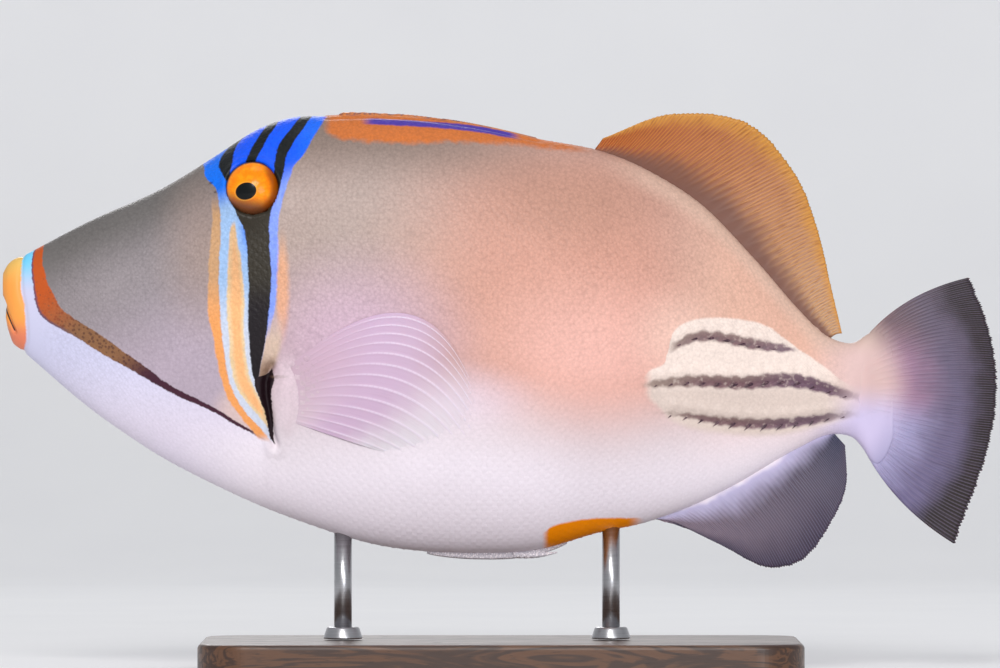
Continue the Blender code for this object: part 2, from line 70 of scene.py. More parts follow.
BACK_SPAN = 250.0
HEIGHT_SPAN = 150.0
POINTED = 0.9999


def tone(red: float, green: float, blue: float) -> Colour:
    """A colour from display values of 0 to 255.

    Args:
        red: The red part.
        green: The green part.
        blue: The blue part.

    Returns:
        The same colour in linear values.
    """
    parts = (value / 255 for value in (red, green, blue))
    return tuple(v / 12.92 if v <= 0.04045 else ((v + 0.055) / 1.055) ** 2.4 for v in parts)


def smooth_line(points: Points) -> Callable[[Array], Array]:
    """A smooth function through points.

    Args:
        points: Pairs of place and value, in order of place.

    Returns:
        A function from places to values, constant past both ends.
    """
    place, value = np.array(points, float).T
    slope = np.gradient(value, place)

    def at(x: Array) -> Array:
        """The values at some places.

        Args:
            x: The places.

        Returns:
            The values there.
        """
        x = np.clip(x, place[0], place[-1])
        i = np.clip(np.searchsorted(place, x) - 1, 0, len(place) - 2)
        span = place[i + 1] - place[i]
        t = (x - place[i]) / span
        start = value[i] * (1 + 2 * t) * (1 - t) ** 2 + slope[i] * span * t * (1 - t) ** 2
        end = value[i + 1] * t * t * (3 - 2 * t) - slope[i + 1] * span * t * t * (1 - t)
        return start + end

    return at


def fade(value: Array, low: float, high: float) -> Array:
    """A smooth step from 0 at low to 1 at high, which may be the smaller of the two."""
    t = np.clip((value - low) / (high - low), 0, 1)
    return t * t * (3 - 2 * t)


def stacked(*parts: Array) -> Array:
    """Arrays put side by side along a new last axis."""
    return np.stack(parts, axis=-1)


def bell(value: Array, width: float, power: int = 2) -> Array:
    """A bell curve, 1 in its middle, with a flatter top where its power is higher."""
    return np.exp(-((value / width) ** power))


def rounded(share: Array, width: float) -> Array:
    """Rises as the side of a circle does, from 0 at a share of 0 to 1 at a width."""
    return np.sqrt(np.clip(share / width, 0, 1))


def distance_to(points: Points, back: Array, up: Array) -> Array:
    """How far places of the side view lie from a line of straight lengths.

    Args:
        points: The line's corners.
        back: The places' distances back from the nose.
        up: The places' heights.

    Returns:
        The distances, in the shape of back.
    """
    nearest = np.full(np.shape(back), np.inf)
    for (b0, u0), (b1, u1) in zip(points, points[1:]):
        run, rise = b1 - b0, u1 - u0
        t = np.clip(((back - b0) * run + (up - u0) * rise) / (run * run + rise * rise), 0, 1)
        nearest = np.minimum(nearest, np.hypot(back - b0 - t * run, up - u0 - t * rise))
    return nearest


@dataclass(frozen=True)
class Marks:
    """Where the features of the head and tail lie, shared by the relief, the paint and the small pieces."""

    eye: Spot = (62.8, 120.6)
    mouth: Points = ((-1, 94.6), (0.2, 92.4), (0.9, 90.6), (2.1, 87.6), (3.2, 85.2))
    gill: Points = ((67.3, 76.6), (65.9, 72.4), (66, 68.6), (66.9, 63.4), (67.6, 59), (68.4, 56.8))
    fold: Points = ((72.2, 94.4), (70.6, 88), (69, 82), (67.4, 77))
    nostrils: Points = ((52.2, 122.2), (53.4, 119.8))
    lip_edge: Points = (
        (78, 4.6), (81, 5.4), (83.3, 6), (87.3, 6), (91.3, 5.6), (95.3, 4.9), (99.3, 4.7), (104, 5),
    )
    cheek: Points = (
        (9.2, 107.5, 1.6), (8.9, 105.2, 1.8), (8.7, 102.8, 1.8), (9.1, 99, 1.9), (10.2, 94.4, 2.4),
        (11.5, 91.4, 2.7), (13.2, 89.2, 2.4), (16, 87.4, 2.1), (19.5, 85.3, 2), (22.2, 83.7, 2),
        (29.2, 79.1, 1.65), (34.2, 76.1, 1.35), (39.2, 72.7, 0.95), (44.2, 69.8, 0.85), (49.2, 67.5, 0.7),
        (54.2, 65, 0.55), (59.2, 62, 0.45), (63.4, 59.6, 0.3),
    )
    rows: tuple[Points, ...] = (
        ((165.5, 80.2), (168, 81.6), (172, 83.5), (176, 84), (181, 83.4), (186, 82.3), (191, 81.5),
         (197, 80.6)),
        ((159.5, 71.8), (166, 72.4), (171, 72.8), (178, 72.6), (186, 72.4), (192, 72.9), (199, 72.7),
         (204, 71.5), (210, 69.6), (216, 68.3)),
        ((163, 65), (170, 64.3), (177, 63.2), (184, 62.4), (192.5, 62.1), (200.5, 62.8), (208.5, 64),
         (215, 64.6)),
    )
    spacing: float = 3.95


@dataclass(frozen=True)
class BodyForm:
    """The body without its fins, from the same lines as its solids."""

    back_points: Points = (
        (0, 99.5), (1, 101.2), (2.5, 102.5), (7.5, 105.3), (20, 111.8), (40, 121), (54, 129.4), (64, 135.6),
        (71, 138.3), (82, 139.1), (102, 138.7), (118, 136.7), (134, 133.4), (149, 130.3), (160, 126.1),
        (174, 117.3), (188, 103.2), (199, 90.6), (205.5, 84.4), (209.5, 82.5), (213, 82.4), (216, 84.3),
        (218.3, 85.2), (220.5, 83.6), (223, 79),
    )
    belly_points: Points = (
        (0, 93.5), (1, 87), (2, 83.9), (4.2, 81.2), (9.2, 76.6), (19, 68.2), (34, 57.2), (49, 48.8),
        (64, 41.8), (79, 36.1), (99, 30.8), (119, 29.8), (134, 30.7), (149, 34.9), (160, 37.2), (169, 40.2),
        (182, 46.2), (199, 56), (206, 59.2), (210, 59.4), (213, 58.2), (215, 55.9), (216.8, 53.2),
        (218.6, 52.2), (220.5, 54), (223, 60),
    )
    half_width_points: Points = (
        (0, 2.4), (1, 3.8), (2.5, 4.8), (5.8, 6), (10, 7.3), (20, 10), (35, 13.3), (50, 16.1), (65, 18.6),
        (80, 20.6), (100, 22), (120, 21.6), (140, 19.4), (160, 15.2), (180, 10.4), (195, 7.2), (205, 5.5),
        (210, 4.8), (213, 4.3), (215.5, 3.4), (218, 2.0), (220, 0.95), (221.5, 0.3), (223, 0.1),
    )
    above: float = 2.0
    below: float = 1.8
    marks: Marks = field(default_factory=Marks)

    def __post_init__(self) -> None:
        """Makes the three lines into functions."""
        object.__setattr__(self, "back", smooth_line(self.back_points))
        object.__setattr__(self, "belly", smooth_line(self.belly_points))
        object.__setattr__(self, "half", smooth_line(self.half_width_points))

    def level_at(self, back: Array, up: Array) -> Array:
        """Where heights lie between the belly, -1, and the back, 1."""
        top, bottom = self.back(back), self.belly(back)
        return np.clip((2 * np.asarray(up) - top - bottom) / (top - bottom), -1, 1)

    def half_at(self, back: Array, level: Array) -> Array:
        """How far the body's side stands off the middle plane at levels of -1 to 1."""
        power = np.where(level > 0, self.above, self.below)
        return self.half(back) * (1 - np.abs(level) ** power) ** (1 / power)

    def flank(self, back: Array, up: Array) -> Array:
        """How far the body's side stands off the middle plane at places of the side view."""
        return self.half_at(back, self.level_at(back, up))

    def plain(self, back: Array, turn: Array) -> Array:
        """The body's smooth surface.

        Args:
            back: Distances back from the nose.
            turn: Angles round the body, 0 on the back and a quarter turn on the left side.

        Returns:
            Places as an array whose last axis is back, across and up.
        """
        back, turn = np.broadcast_arrays(np.maximum(back, 0), turn)
        level = np.cos(turn)
        top, bottom = self.back(back), self.belly(back)
        width = self.half_at(back, level)
        up = (top + bottom) / 2 + level * (top - bottom) / 2
        return stacked(back, -width * np.sign(np.sin(turn)), up)

    def relief(self, back: Array, side: Array, up: Array) -> Array:
        """How far the skin stands out of the smooth surface: lips, eye rims, gill slits and the tail's rows.

        Args:
            back: Distances back from the nose.
            side: Distances across.
            up: Heights.

        Returns:
            The rise along the surface's normal, less than nothing in a groove.
        """
        marks = self.marks
        from_eye = np.hypot(back - marks.eye[0], up - marks.eye[1])
        rise = 0.9 * bell(from_eye - 7.0, 1.0) + 0.5 * bell(from_eye - 8.4, 2.2)
        rise -= 3.4 * fade(from_eye, 6.5, 5.9)
        for place in marks.nostrils:
            away = np.hypot(back - place[0], up - place[1])
            rise += 0.22 * bell(away - 0.85, 0.35) - 0.75 * bell(away, 0.5)
        lip = smooth_line(marks.lip_edge)(up)
        rise += 0.42 * bell(back - lip + 2.3, 1.7) - 0.42 * bell(back - lip, 0.55)
        rise -= 1.25 * bell(distance_to(marks.mouth, back, up), 0.42)
        gill = distance_to(marks.gill, back, up)
        rise -= 1.7 * bell(gill, 0.85) - 0.35 * bell(gill - 1.9, 0.8)
        lobe = ((back - 70.9) / 2.3) ** 2 + ((up - 67) / 7.6) ** 2
        rise += 1.15 * np.exp(-(lobe**2))
        rise -= 0.3 * bell(distance_to(marks.fold, back, up), 0.4)
        groove = fade(back, 79, 82) * fade(back, 136, 132) * bell(np.abs(side) - 3, 0.7)
        rise -= 0.55 * groove * (up > 100)
        for number, row in enumerate(marks.rows):
            line = smooth_line(row)
            away = up - line(back)
            here = fade(back, row[0][0], row[0][0] + 6) * fade(back, row[-1][0], row[-1][0] - 9)
            beat = 0.75 + 0.25 * np.cos(math.tau * (back / marks.spacing + 0.3 * number))
            ridge = 0.62 * bell(away - 2.3, 1.25) * beat
            rise += here * (ridge - 0.5 * bell(away + 0.5, 0.95))
        ripple = np.sin(back / 8.3 + 1.1) * np.sin(up / 6.7) + 0.6 * np.sin(back / 4.9 - up / 7.7)
        return rise + 0.1 * ripple * fade(back, 10, 30)

    def skin(self, back: Array, turn: Array, rise: Array | float = 0.0) -> Array:
        """The skin's surface with its relief.

        Args:
            back: Distances back from the nose.
            turn: Angles round the body.
            rise: How far above the skin the places lie.

        Returns:
            Places as an array whose last axis is back, across and up.
        """
        step, turn_step = 0.02, 0.002
        here = self.plain(back, turn)
        ahead = self.plain(back + step, turn) - self.plain(np.maximum(back - step, 0), turn)
        round_it = self.plain(back, turn + turn_step) - self.plain(back, turn - turn_step)
        normal = np.cross(round_it, ahead)
        size = np.linalg.norm(normal, axis=-1, keepdims=True)
        normal = np.where(size > TINY, normal / np.maximum(size, TINY), (-1.0, 0.0, 0.0))
        height = self.relief(here[..., 0], here[..., 1], here[..., 2]) + rise
        placed = here + normal * height[..., None]
        placed[..., 0] = np.maximum(placed[..., 0], 0.05)
        return placed

    def turn_at(self, back: float, up: float, side: int) -> float:
        """The angle round the body of a place of the side view, on the left side (-1) or the right (1)."""
        return -side * math.acos(self.level_at(back, up))

    def frame_at(self, back: float, up: float, side: int, rise: float = 0.0) -> Matrix:
        """A frame on the skin: its origin on the surface, Z out of it and X towards the tail.

        Args:
            back: The place's distance back from the nose.
            up: Its height.
            side: -1 on the left side, 1 on the right.
            rise: How far above the skin the origin lies.

        Returns:
            The frame as a matrix in millimetres of the side view's axes.
        """
        turn = self.turn_at(back, up, side)
        backs = np.array([back, back + 0.4, back])
        turns = np.array([turn, turn, turn + 0.01])
        a, b, c = (Vector(p) for p in self.skin(backs, turns, rise))
        out = (b - a).cross(c - a).normalized()
        if out.y * side < 0:
            out = -out
        along = (b - a - (b - a).dot(out) * out).normalized()
        matrix = Matrix((along, out.cross(along), out)).transposed().to_4x4()
        return Matrix.Translation(a) @ matrix


def to_world(places: Array) -> Array:
    """Places of the side view, in millimetres, as places of the scene in metres."""
    return (np.asarray(places, float) - (LENGTH / 2, 0, 0)) * MM


def shown(name: str, data: bpy.types.ID) -> Piece:
    """A new object of the scene, at the origin.

    Args:
        name: Its name.
        data: Its mesh, light or camera.

    Returns:
        The object.
    """
    piece = bpy.data.objects.new(name, data)
    bpy.context.scene.collection.objects.link(piece)
    return piece


def points_of(mesh: bpy.types.Mesh) -> Array:
    """The places of a mesh's vertices.

    Args:
        mesh: The mesh.

    Returns:
        A row of three for each vertex.
    """
    flat = np.empty(len(mesh.vertices) * 3)
    mesh.vertices.foreach_get("co", flat)
    return flat.reshape(-1, 3)


def eased(made: Shape, edges: list[bmesh.types.BMEdge], offset: float, segments: int) -> None:
    """Rounds some edges of a mesh.

    Args:
        made: The mesh.
        edges: The edges.
        offset: How far from each edge the round starts, in millimetres.
        segments: How many faces it has.
    """
    bmesh.ops.bevel(
        made, geom=edges, offset=offset * MM, segments=segments, profile=0.5, affect="EDGES", material=-1
    )


def finish_mesh(made: Shape, name: str, smooth: bool = True) -> Piece:
    """Makes a bmesh into an object of the scene, with its faces out.

    Args:
        made: The mesh, which is freed.
        name: The object's name.
        smooth: Whether its faces are shaded smooth.

    Returns:
        The new object, at the origin.
    """
    bmesh.ops.recalc_face_normals(made, faces=made.faces)
    mesh = bpy.data.meshes.new(name)
    made.to_mesh(mesh)
    made.free()
    if smooth:
        mesh.shade_smooth()
    return shown(name, mesh)


def mapped_grid(
    name: str, columns: int, rows: int, place: Placing,
    marks: Placing | None = None,
) -> Piece:
    """A grid bent into a closed surface: its meeting edges are merged and its open ends filled.

    Args:
        name: The object's name.
        columns: How many faces across.
        rows: How many faces up.
        place: Gives places in millimetres from two shares of 0 to 1.
        marks: Gives each point's three values for the paint, from the same two shares.

    Returns:
        The new object.
    """
    made = bmesh.new()
    bmesh.ops.create_grid(made, x_segments=columns, y_segments=rows, size=0.5)
    mesh = bpy.data.meshes.new(name)
    made.to_mesh(mesh)
    across, up = (points_of(mesh)[:, axis] + 0.5 for axis in range(2))
    mesh.vertices.foreach_set("co", to_world(place(across, up)).ravel())
    if marks is not None:
        values = mesh.attributes.new("marks", "FLOAT_VECTOR", "POINT")
        values.data.foreach_set("vector", marks(across, up).astype(float).ravel())
    made.clear()
    made.from_mesh(mesh)
    bpy.data.meshes.remove(mesh)
    bmesh.ops.remove_doubles(made, verts=made.verts, dist=2e-7)
    bmesh.ops.dissolve_degenerate(made, edges=made.edges, dist=1e-7)
    open_edges = [edge for edge in made.edges if edge.is_boundary]
    filled = bmesh.ops.holes_fill(made, edges=open_edges, sides=0)["faces"]
    bmesh.ops.triangulate(made, faces=filled)
    return finish_mesh(made, name)


def joined(name: str, meshes: Sequence[Shape]) -> Piece:
    """Many small meshes as one object.

    Args:
        name: The object's name.
        meshes: The meshes, in metres, which are freed.

    Returns:
        The new object.
    """
    whole = bmesh.new()
    for made in meshes:
        mesh = bpy.data.meshes.new(name)
        made.to_mesh(mesh)
        made.free()
        whole.from_mesh(mesh)
        bpy.data.meshes.remove(mesh)
    return finish_mesh(whole, name)


class Graph:
    """A material whose nodes are written one expression at a time, over a Principled shader."""

    def __init__(self, name: str) -> None:
        """Starts a material.

        Args:
            name: The material's name.
        """
        self.material = bpy.data.materials.new(name)
        self.material.use_nodes = True
        self.nodes = self.material.node_tree.nodes
        self.links = self.material.node_tree.links
        self.shader = self.nodes["Principled BSDF"]
        self.position = self.add("ShaderNodeTexCoord").outputs["Object"]

    def add(self, kind: str, **settings: object) -> bpy.types.Node:
        """A new node with some of its settings given.

        Args:
            kind: The node's type.
            settings: Its settings by their names.

        Returns:
            The node.
        """
        node = self.nodes.new(kind)
        for key, value in settings.items():
            setattr(node, key, value)
        return node

    def put(self, socket: Socket, value: object) -> None:
        """Links a value to a socket, or sets it there where it is a number or a colour.

        Args:
            socket: The socket to fill.
            value: What goes into it.
        """
        if isinstance(value, Socket):
            self.links.new(value, socket)
        elif isinstance(value, tuple) and len(value) == 3 and socket.type == "RGBA":
            socket.default_value = (*value, 1)
        else:
            socket.default_value = value

    def fed(self, kind: str, fill: dict[int | str, object], output: int = 0, **settings: object) -> Socket:
        """A new node with its sockets filled.

        Args:
            kind: The node's type.
            fill: What goes into each socket, by its number or name.
            output: The number of the output that is given back.
            settings: The node's settings by their names.

        Returns:
            The node's output.
        """
        node = self.add(kind, **settings)
        for key, value in fill.items():
            self.put(node.inputs[key], value)
        return node.outputs[output]

    def math(self, operation: str, *values: object, clamp: bool = False) -> Socket:
        """One step of arithmetic on numbers or sockets."""
        return self.fed("ShaderNodeMath", dict(enumerate(values)), operation=operation, use_clamp=clamp)

    def scaled(self, value: object, factor: object, shift: object) -> Socket:
        """A value times a factor, plus a shift."""
        return self.math("MULTIPLY_ADD", value, factor, shift)

    def times(self, first: object, second: object) -> Socket:
        """The product of two values."""
        return self.math("MULTIPLY", first, second)

    def plus(self, first: object, second: object) -> Socket:
        """The sum of two values."""
        return self.math("ADD", first, second)

    def minus(self, first: object, second: object) -> Socket:
        """The first of two values less the second."""
        return self.math("SUBTRACT", first, second)

    def away(self, along: object, across: object) -> Socket:
        """How far off a place is, from its distances along and across."""
        return self.math("SQRT", self.plus(self.times(along, along), self.times(across, across)))

    def apart(self, vector: Socket) -> list[Socket]:
        """The three numbers of a vector.

        Args:
            vector: The vector.

        Returns:
            Its numbers along X, Y and Z.
        """
        node = self.add("ShaderNodeSeparateXYZ")
        self.links.new(vector, node.inputs[0])
        return list(node.outputs)

    def stretched(self, scale: tuple[float, float, float]) -> Socket:
        """The object's coordinates with a scale on each axis."""
        return self.fed("ShaderNodeMapping", {"Scale": scale, "Vector": self.position})

    def step(self, value: object, low: object, high: object) -> Socket:
        """A smooth step of a value from 0 at low to 1 at high."""
        return self.fed("ShaderNodeMapRange", {0: value, 1: low, 2: high}, interpolation_type="SMOOTHSTEP")

    def both(self, *masks: object) -> Socket:
        """Where all of several masks are on."""
        return reduce(self.times, masks)

    def mix(self, factor: object, first: object, second: object) -> Socket:
        """A mix of two colours."""
        return self.fed("ShaderNodeMix", {0: factor, 6: first, 7: second}, output=2, data_type="RGBA")

    def noise(self, size: float, detail: float = 2.0, vector: Socket | None = None) -> Socket:
        """Soft noise whose features are a size in millimetres across."""
        place = self.position if vector is None else vector
        return self.fed("ShaderNodeTexNoise", {"Vector": place, "Scale": 1000 / size, "Detail": detail})

    def cells(self, size: float) -> Socket:
        """The distance to the middle of small cells of a size in millimetres."""
        return self.fed("ShaderNodeTexVoronoi", {"Vector": self.position, "Scale": 1000 / size})

    def curve(self, value: object, points: Points, span: float, reach: float) -> Socket:
        """A smooth line through points.

        Args:
            value: The place along the line, from 0 to span.
            points: Pairs of place and value, in order of place.
            span: The largest place.
            reach: The largest value.

        Returns:
            The line's value there.
        """
        node = self.add("ShaderNodeFloatCurve")
        curve = node.mapping.curves[0]
        while len(curve.points) < len(points):
            curve.points.new(0.5, 0.5)
        for point, (place, level) in zip(curve.points, sorted(points)):
            point.location = (place / span, level / reach)
            point.handle_type = "AUTO"
        node.mapping.update()
        self.put(node.inputs["Value"], self.math("DIVIDE", value, span))
        return self.times(node.outputs[0], reach)

    def attribute(self, name: str) -> list[Socket]:
        """The three values that the mesh carries for the paint."""
        return self.apart(self.add("ShaderNodeAttribute", attribute_name=name).outputs["Vector"])

    def bump(self, height: object, depth: float, strength: float) -> Socket:
        """A bump from a height of 0 to 1, which stands for a depth in millimetres."""
        return self.fed("ShaderNodeBump", {"Strength": strength, "Distance": depth * MM, "Height": height})

    def dress(self, **values: object) -> Material:
        """Sets the shader's sockets, named with _ for a space, and gives the finished material.

        Args:
            values: What goes into each socket.

        Returns:
            The material.
        """
        for key, value in values.items():
            self.put(self.shader.inputs[key.replace("_", " ")], value)
        return self.material


@dataclass(frozen=True)
class SkinColours:
    """The colours of the skin, as a diver's light shows them."""

    snout_top: Colour = tone(106, 102, 100)
    snout: Colour = tone(146, 137, 140)
    snout_low: Colour = tone(180, 164, 178)
    snout_rear: Colour = tone(156, 134, 124)
    corner: Colour = tone(222, 194, 188)
    ridge: Colour = tone(216, 186, 168)
    nape: Colour = tone(122, 105, 95)
    shoulder: Colour = tone(172, 152, 144)
    flank: Colour = tone(203, 149, 131)
    warm_low: Colour = tone(234, 181, 169)
    upper_rear: Colour = tone(184, 138, 120)
    rear: Colour = tone(218, 172, 152)
    belly: Colour = tone(241, 231, 240)
    chin: Colour = tone(203, 202, 228)
    throat_with_shade: Colour = tone(226, 216, 232)
    lilac: Colour = tone(206, 175, 195)
    pale_lilac: Colour = tone(232, 210, 230)
    stripe_blue: Colour = tone(0, 86, 244)
    sky_blue: Colour = tone(0, 112, 240)
    pale_blue: Colour = tone(154, 186, 226)
    pale_line: Colour = tone(206, 212, 228)
    violet_blue: Colour = tone(128, 154, 242)
    black: Colour = tone(8, 14, 16)
    band: Colour = tone(22, 14, 20)
    band_top: Colour = tone(46, 40, 30)
    orange: Colour = tone(240, 160, 92)
    orange_top: Colour = tone(196, 152, 110)
    yellow: Colour = tone(232, 202, 158)
    yellow_core: Colour = tone(246, 182, 124)
    fringe: Colour = tone(232, 166, 120)
    lips: Colour = tone(246, 160, 74)
    lips_top: Colour = tone(230, 184, 96)
    lips_low: Colour = tone(228, 128, 94)
    cyan: Colour = tone(110, 206, 246)
    cheek_orange: Colour = tone(190, 82, 24)
    cheek_brown: Colour = tone(104, 68, 50)
    cheek_fleck: Colour = tone(138, 96, 64)
    cheek_purple: Colour = tone(66, 28, 46)
    slit_shade: Colour = tone(30, 14, 20)
    flap: Colour = tone(206, 180, 162)
    back_orange: Colour = tone(204, 108, 34)
    streak: Colour = tone(74, 52, 160)
    vent: Colour = tone(255, 146, 0)
    cream: Colour = tone(232, 214, 204)
    sand: Colour = tone(214, 196, 186)
    row_taupe: Colour = tone(146, 126, 116)
    row_dark: Colour = tone(104, 66, 76)
    row_hook_base_and_shadow: Colour = tone(54, 30, 46)
    row_last: Colour = tone(84, 50, 84)
    root: Colour = tone(216, 184, 180)
    root_top: Colour = tone(194, 170, 156)
    root_low: Colour = tone(206, 194, 226)
    halo: Colour = tone(242, 206, 190)
    fan: Colour = tone(154, 120, 144)
    fan_low: Colour = tone(158, 152, 188)
    fan_top: Colour = tone(122, 98, 100)


class SkinPaint:
    """The paint of the skin: the ground colour, the stripes of the head and the markings of the tail."""

    def __init__(self, form: BodyForm, colours: SkinColours, name: str = "painted_skin") -> None:
        """Starts the paint.

        Args:
            form: The body, whose features the markings follow.
            colours: The skin's colours.
            name: The material's name.
        """
        self.form = form
        self.tones = colours
        self.graph = Graph(name)
        g = self.graph
        along, _, upward = g.apart(g.position)
        wander = g.minus(g.noise(3.2, 2), 0.5)
        fuzz = g.minus(g.noise(0.7, 2), 0.5)
        shake = g.plus(g.times(wander, 0.7), g.times(fuzz, 0.5))
        self.true_back = g.scaled(along, 1 / MM, LENGTH / 2)
        self.true_up = g.times(upward, 1 / MM)
        self.back = g.plus(self.true_back, shake)
        self.up = g.plus(self.true_up, g.times(shake, 0.6))

    def past(self, low: float, high: float) -> Socket:
        """A smooth step from 0 to 1 between two distances back from the nose."""
        return self.graph.step(self.back, low, high)

    def above(self, low: float, high: float) -> Socket:
        """A smooth step from 0 to 1 between two heights."""
        return self.graph.step(self.up, low, high)

    def level_line(self, points: Points) -> Socket:
        """The height of a level line of (distance back, height) points."""
        return self.graph.curve(self.back, points, BACK_SPAN, HEIGHT_SPAN)

    def upright_line(self, points: Points) -> Socket:
        """The distance back of an upright line of (height, distance back) points."""
        return self.graph.curve(self.up, points, HEIGHT_SPAN, BACK_SPAN)

    def edge(self, value: object, line: object, soft: float = 0.22) -> Socket:
        """Where a value is past a line, with an edge of some softness."""
        return self.graph.step(self.graph.minus(value, line), -soft, soft)

    def behind(self, points: Points, soft: float = 0.22) -> Socket:
        """Where a place lies behind an upright line of (height, distance back) points."""
        return self.edge(self.back, self.upright_line(points), soft)

    def over(self, points: Points, soft: float = 0.25) -> Socket:
        """Where a place lies above a level line of (distance back, height) points."""
        return self.edge(self.up, self.level_line(points), soft)

    def within(self, front: object, rear: object) -> Socket:
        """Where the first of two edges is passed and the second isn't."""
        return self.graph.math("SUBTRACT", front, rear, clamp=True)

    def between(self, front: Points, rear: Points, soft: float = 0.22) -> Socket:
        """Where a place lies between two upright lines."""
        return self.within(self.behind(front, soft), self.behind(rear, soft))

    def spot(self, place: Spot, reach: Spot, hard: float = 0.0) -> Socket:
        """A soft round patch.

        Args:
            place: Its middle.
            reach: How far it reaches along and up.
            hard: The share of its reach that is full, from 0 to 1.

        Returns:
            The patch as a mask.
        """
        g = self.graph
        along = g.math("DIVIDE", g.minus(self.back, place[0]), reach[0])
        upward = g.math("DIVIDE", g.minus(self.up, place[1]), reach[1])
        return g.step(g.away(along, upward), 1.0, hard)

    def patch(
        self, under: object, colour: object, strength: float, place: Spot, reach: Spot, hard: float = 0.0
    ) -> Socket:
        """A colour with a soft round patch of another over it."""
        return self.graph.mix(self.graph.times(self.spot(place, reach, hard), strength), under, colour)

    def ground(self) -> Socket:
        """The colour under the markings: a grey snout, a salmon flank and a pale belly.

        Returns:
            The colour.
        """
        g, c = self.graph, self.tones
        top = g.curve(self.true_back, self.form.back_points, BACK_SPAN, HEIGHT_SPAN)
        depth = g.minus(top, self.true_up)
        snout = g.mix(g.step(depth, 2.0, 20.0), c.snout_top, c.snout)
        snout = g.mix(g.step(depth, 18.0, 48.0), snout, c.snout_low)
        snout = self.patch(snout, c.snout_rear, 0.8, (52, 106), (17, 30))
        snout = self.patch(snout, c.corner, 0.8, (60, 65), (9, 9), 0.3)
        body = g.mix(self.spot((140, 96), (58, 60), 0.25), c.shoulder, c.flank)
        body = self.patch(body, c.upper_rear, 0.85, (142, 117), (38, 17))
        body = self.patch(body, c.warm_low, 0.9, (148, 78), (44, 28))
        body = g.mix(self.past(160.0, 186.0), body, c.rear)
        body = self.patch(body, c.halo, 0.5, (168, 84), (16, 15))
        pale_edge = g.both(g.step(depth, 8.0, 1.0), g.step(self.true_back, 146.0, 165.0))
        body = g.mix(g.times(pale_edge, 0.7), body, c.ridge)
        ridge = g.both(g.step(depth, 20.0, 3.0), g.step(self.true_back, 150.0, 96.0))
        body = g.mix(g.times(ridge, 0.85), body, c.nape)
        lilac = g.times(self.spot((88, 80), (37, 32), 0.15), 0.85)
        body = g.mix(lilac, body, c.lilac)
        body = self.patch(body, c.pale_lilac, 0.6, (114, 67), (24, 13))
        low = ((64, 61), (72, 61), (90, 62), (110, 64), (130, 61), (150, 57), (170, 59), (190, 62), (216, 66))
        pale = self.edge(self.level_line(low), self.up, 15.0)
        body = g.mix(g.math("POWER", pale, 0.8), body, c.belly)
        root = g.mix(self.above(78.0, 86.0), g.mix(self.above(73.0, 63.0), c.root, c.root_low), c.root_top)
        body = g.mix(g.step(self.true_back, 198.0, 214.0), body, root)
        fan = self.spot((202, 70), (27, 27), 0.64)
        fan = g.both(g.minus(1.0, fan), g.step(self.true_back, 209.0, 214.0))
        rays = g.mix(g.step(self.true_up, 70.0, 60.0), c.fan, c.fan_low)
        body = g.mix(fan, body, g.mix(g.step(self.true_up, 76.0, 90.0), rays, c.fan_top))
        return g.mix(self.past(60.0, 68.0), snout, body)

    def coat(self, mask: object, colour: object) -> None:
        """Lays a colour over the paint so far, where a mask is on."""
        self.colour = self.graph.mix(mask, self.colour, colour)

    def cheek_frame(self) -> tuple[Socket, Socket, Points]:
        """The cheek line in a frame turned down the snout.

        Returns:
            The place along that frame and across it, and the line's half width there.
        """
        g = self.graph
        lean, span, height, shift = math.radians(50), 100.0, 120.0, 20.0
        cos, sin = math.cos(lean), math.sin(lean)
        drop = g.minus(height, self.up)
        along = g.plus(g.times(self.back, cos), g.times(drop, sin))
        across = g.minus(g.times(self.back, sin), g.times(drop, cos))
        middle, half = [], []
        for back, up, width in self.form.marks.cheek:
            t = back * cos + (height - up) * sin
            middle.append((t, back * sin - (height - up) * cos + shift))
            half.append((t, width))
        shifted = g.plus(across, shift)
        return along, g.minus(shifted, g.curve(along, middle, span, 60)), half

    def snout(self) -> None:
        """Paints the pale chin, the cheek line, the ring behind the lips, and the lips."""
        g, c = self.graph, self.tones
        along, across, half = self.cheek_frame()
        ahead = self.past(68.5, 64.5)
        below = g.both(self.edge(0.0, across, 0.25), ahead)
        # The throat's pale lilac is partly its own colour and partly painted shade under the head.
        chin = g.mix(self.above(84.0, 58.0), c.chin, c.throat_with_shade)
        rearward = g.both(self.past(38.0, 66.0), self.above(66.0, 54.0))
        self.coat(below, g.mix(rearward, chin, c.belly))
        lip = self.upright_line(self.form.marks.lip_edge)
        ring = g.both(self.past(13.0, 6.0), self.above(94.0, 104.0))
        self.coat(g.both(ring, below), c.cyan)
        width = g.curve(along, half, 100, 10)
        band = g.both(self.edge(width, g.math("ABSOLUTE", across), 0.2), g.step(along, 91.0, 85.0), ahead)
        freckle = g.step(g.cells(0.9), 0.25, 0.5)
        dotted = g.times(g.step(g.cells(1.1), 0.3, 0.12), g.step(along, 14.0, 30.0))
        line = g.mix(g.times(dotted, 0.5), c.cheek_orange, c.cheek_brown)
        line = g.mix(g.step(along, 24.0, 40.0), line, g.mix(freckle, c.cheek_brown, c.cheek_fleck))
        line = g.mix(g.step(along, 48.0, 60.0), line, c.cheek_purple)
        rim = g.both(g.step(g.plus(across, width), 0.9, 0.2), g.step(along, 44.0, 30.0))
        line = g.mix(g.times(rim, 0.75), line, tone(48, 66, 104))
        self.coat(band, line)
        lips = g.mix(self.above(96.0, 103.0), c.lips, c.lips_top)
        lips = g.mix(self.above(89.0, 83.5), lips, c.lips_low)
        self.coat(self.edge(lip, self.back, 0.3), lips)

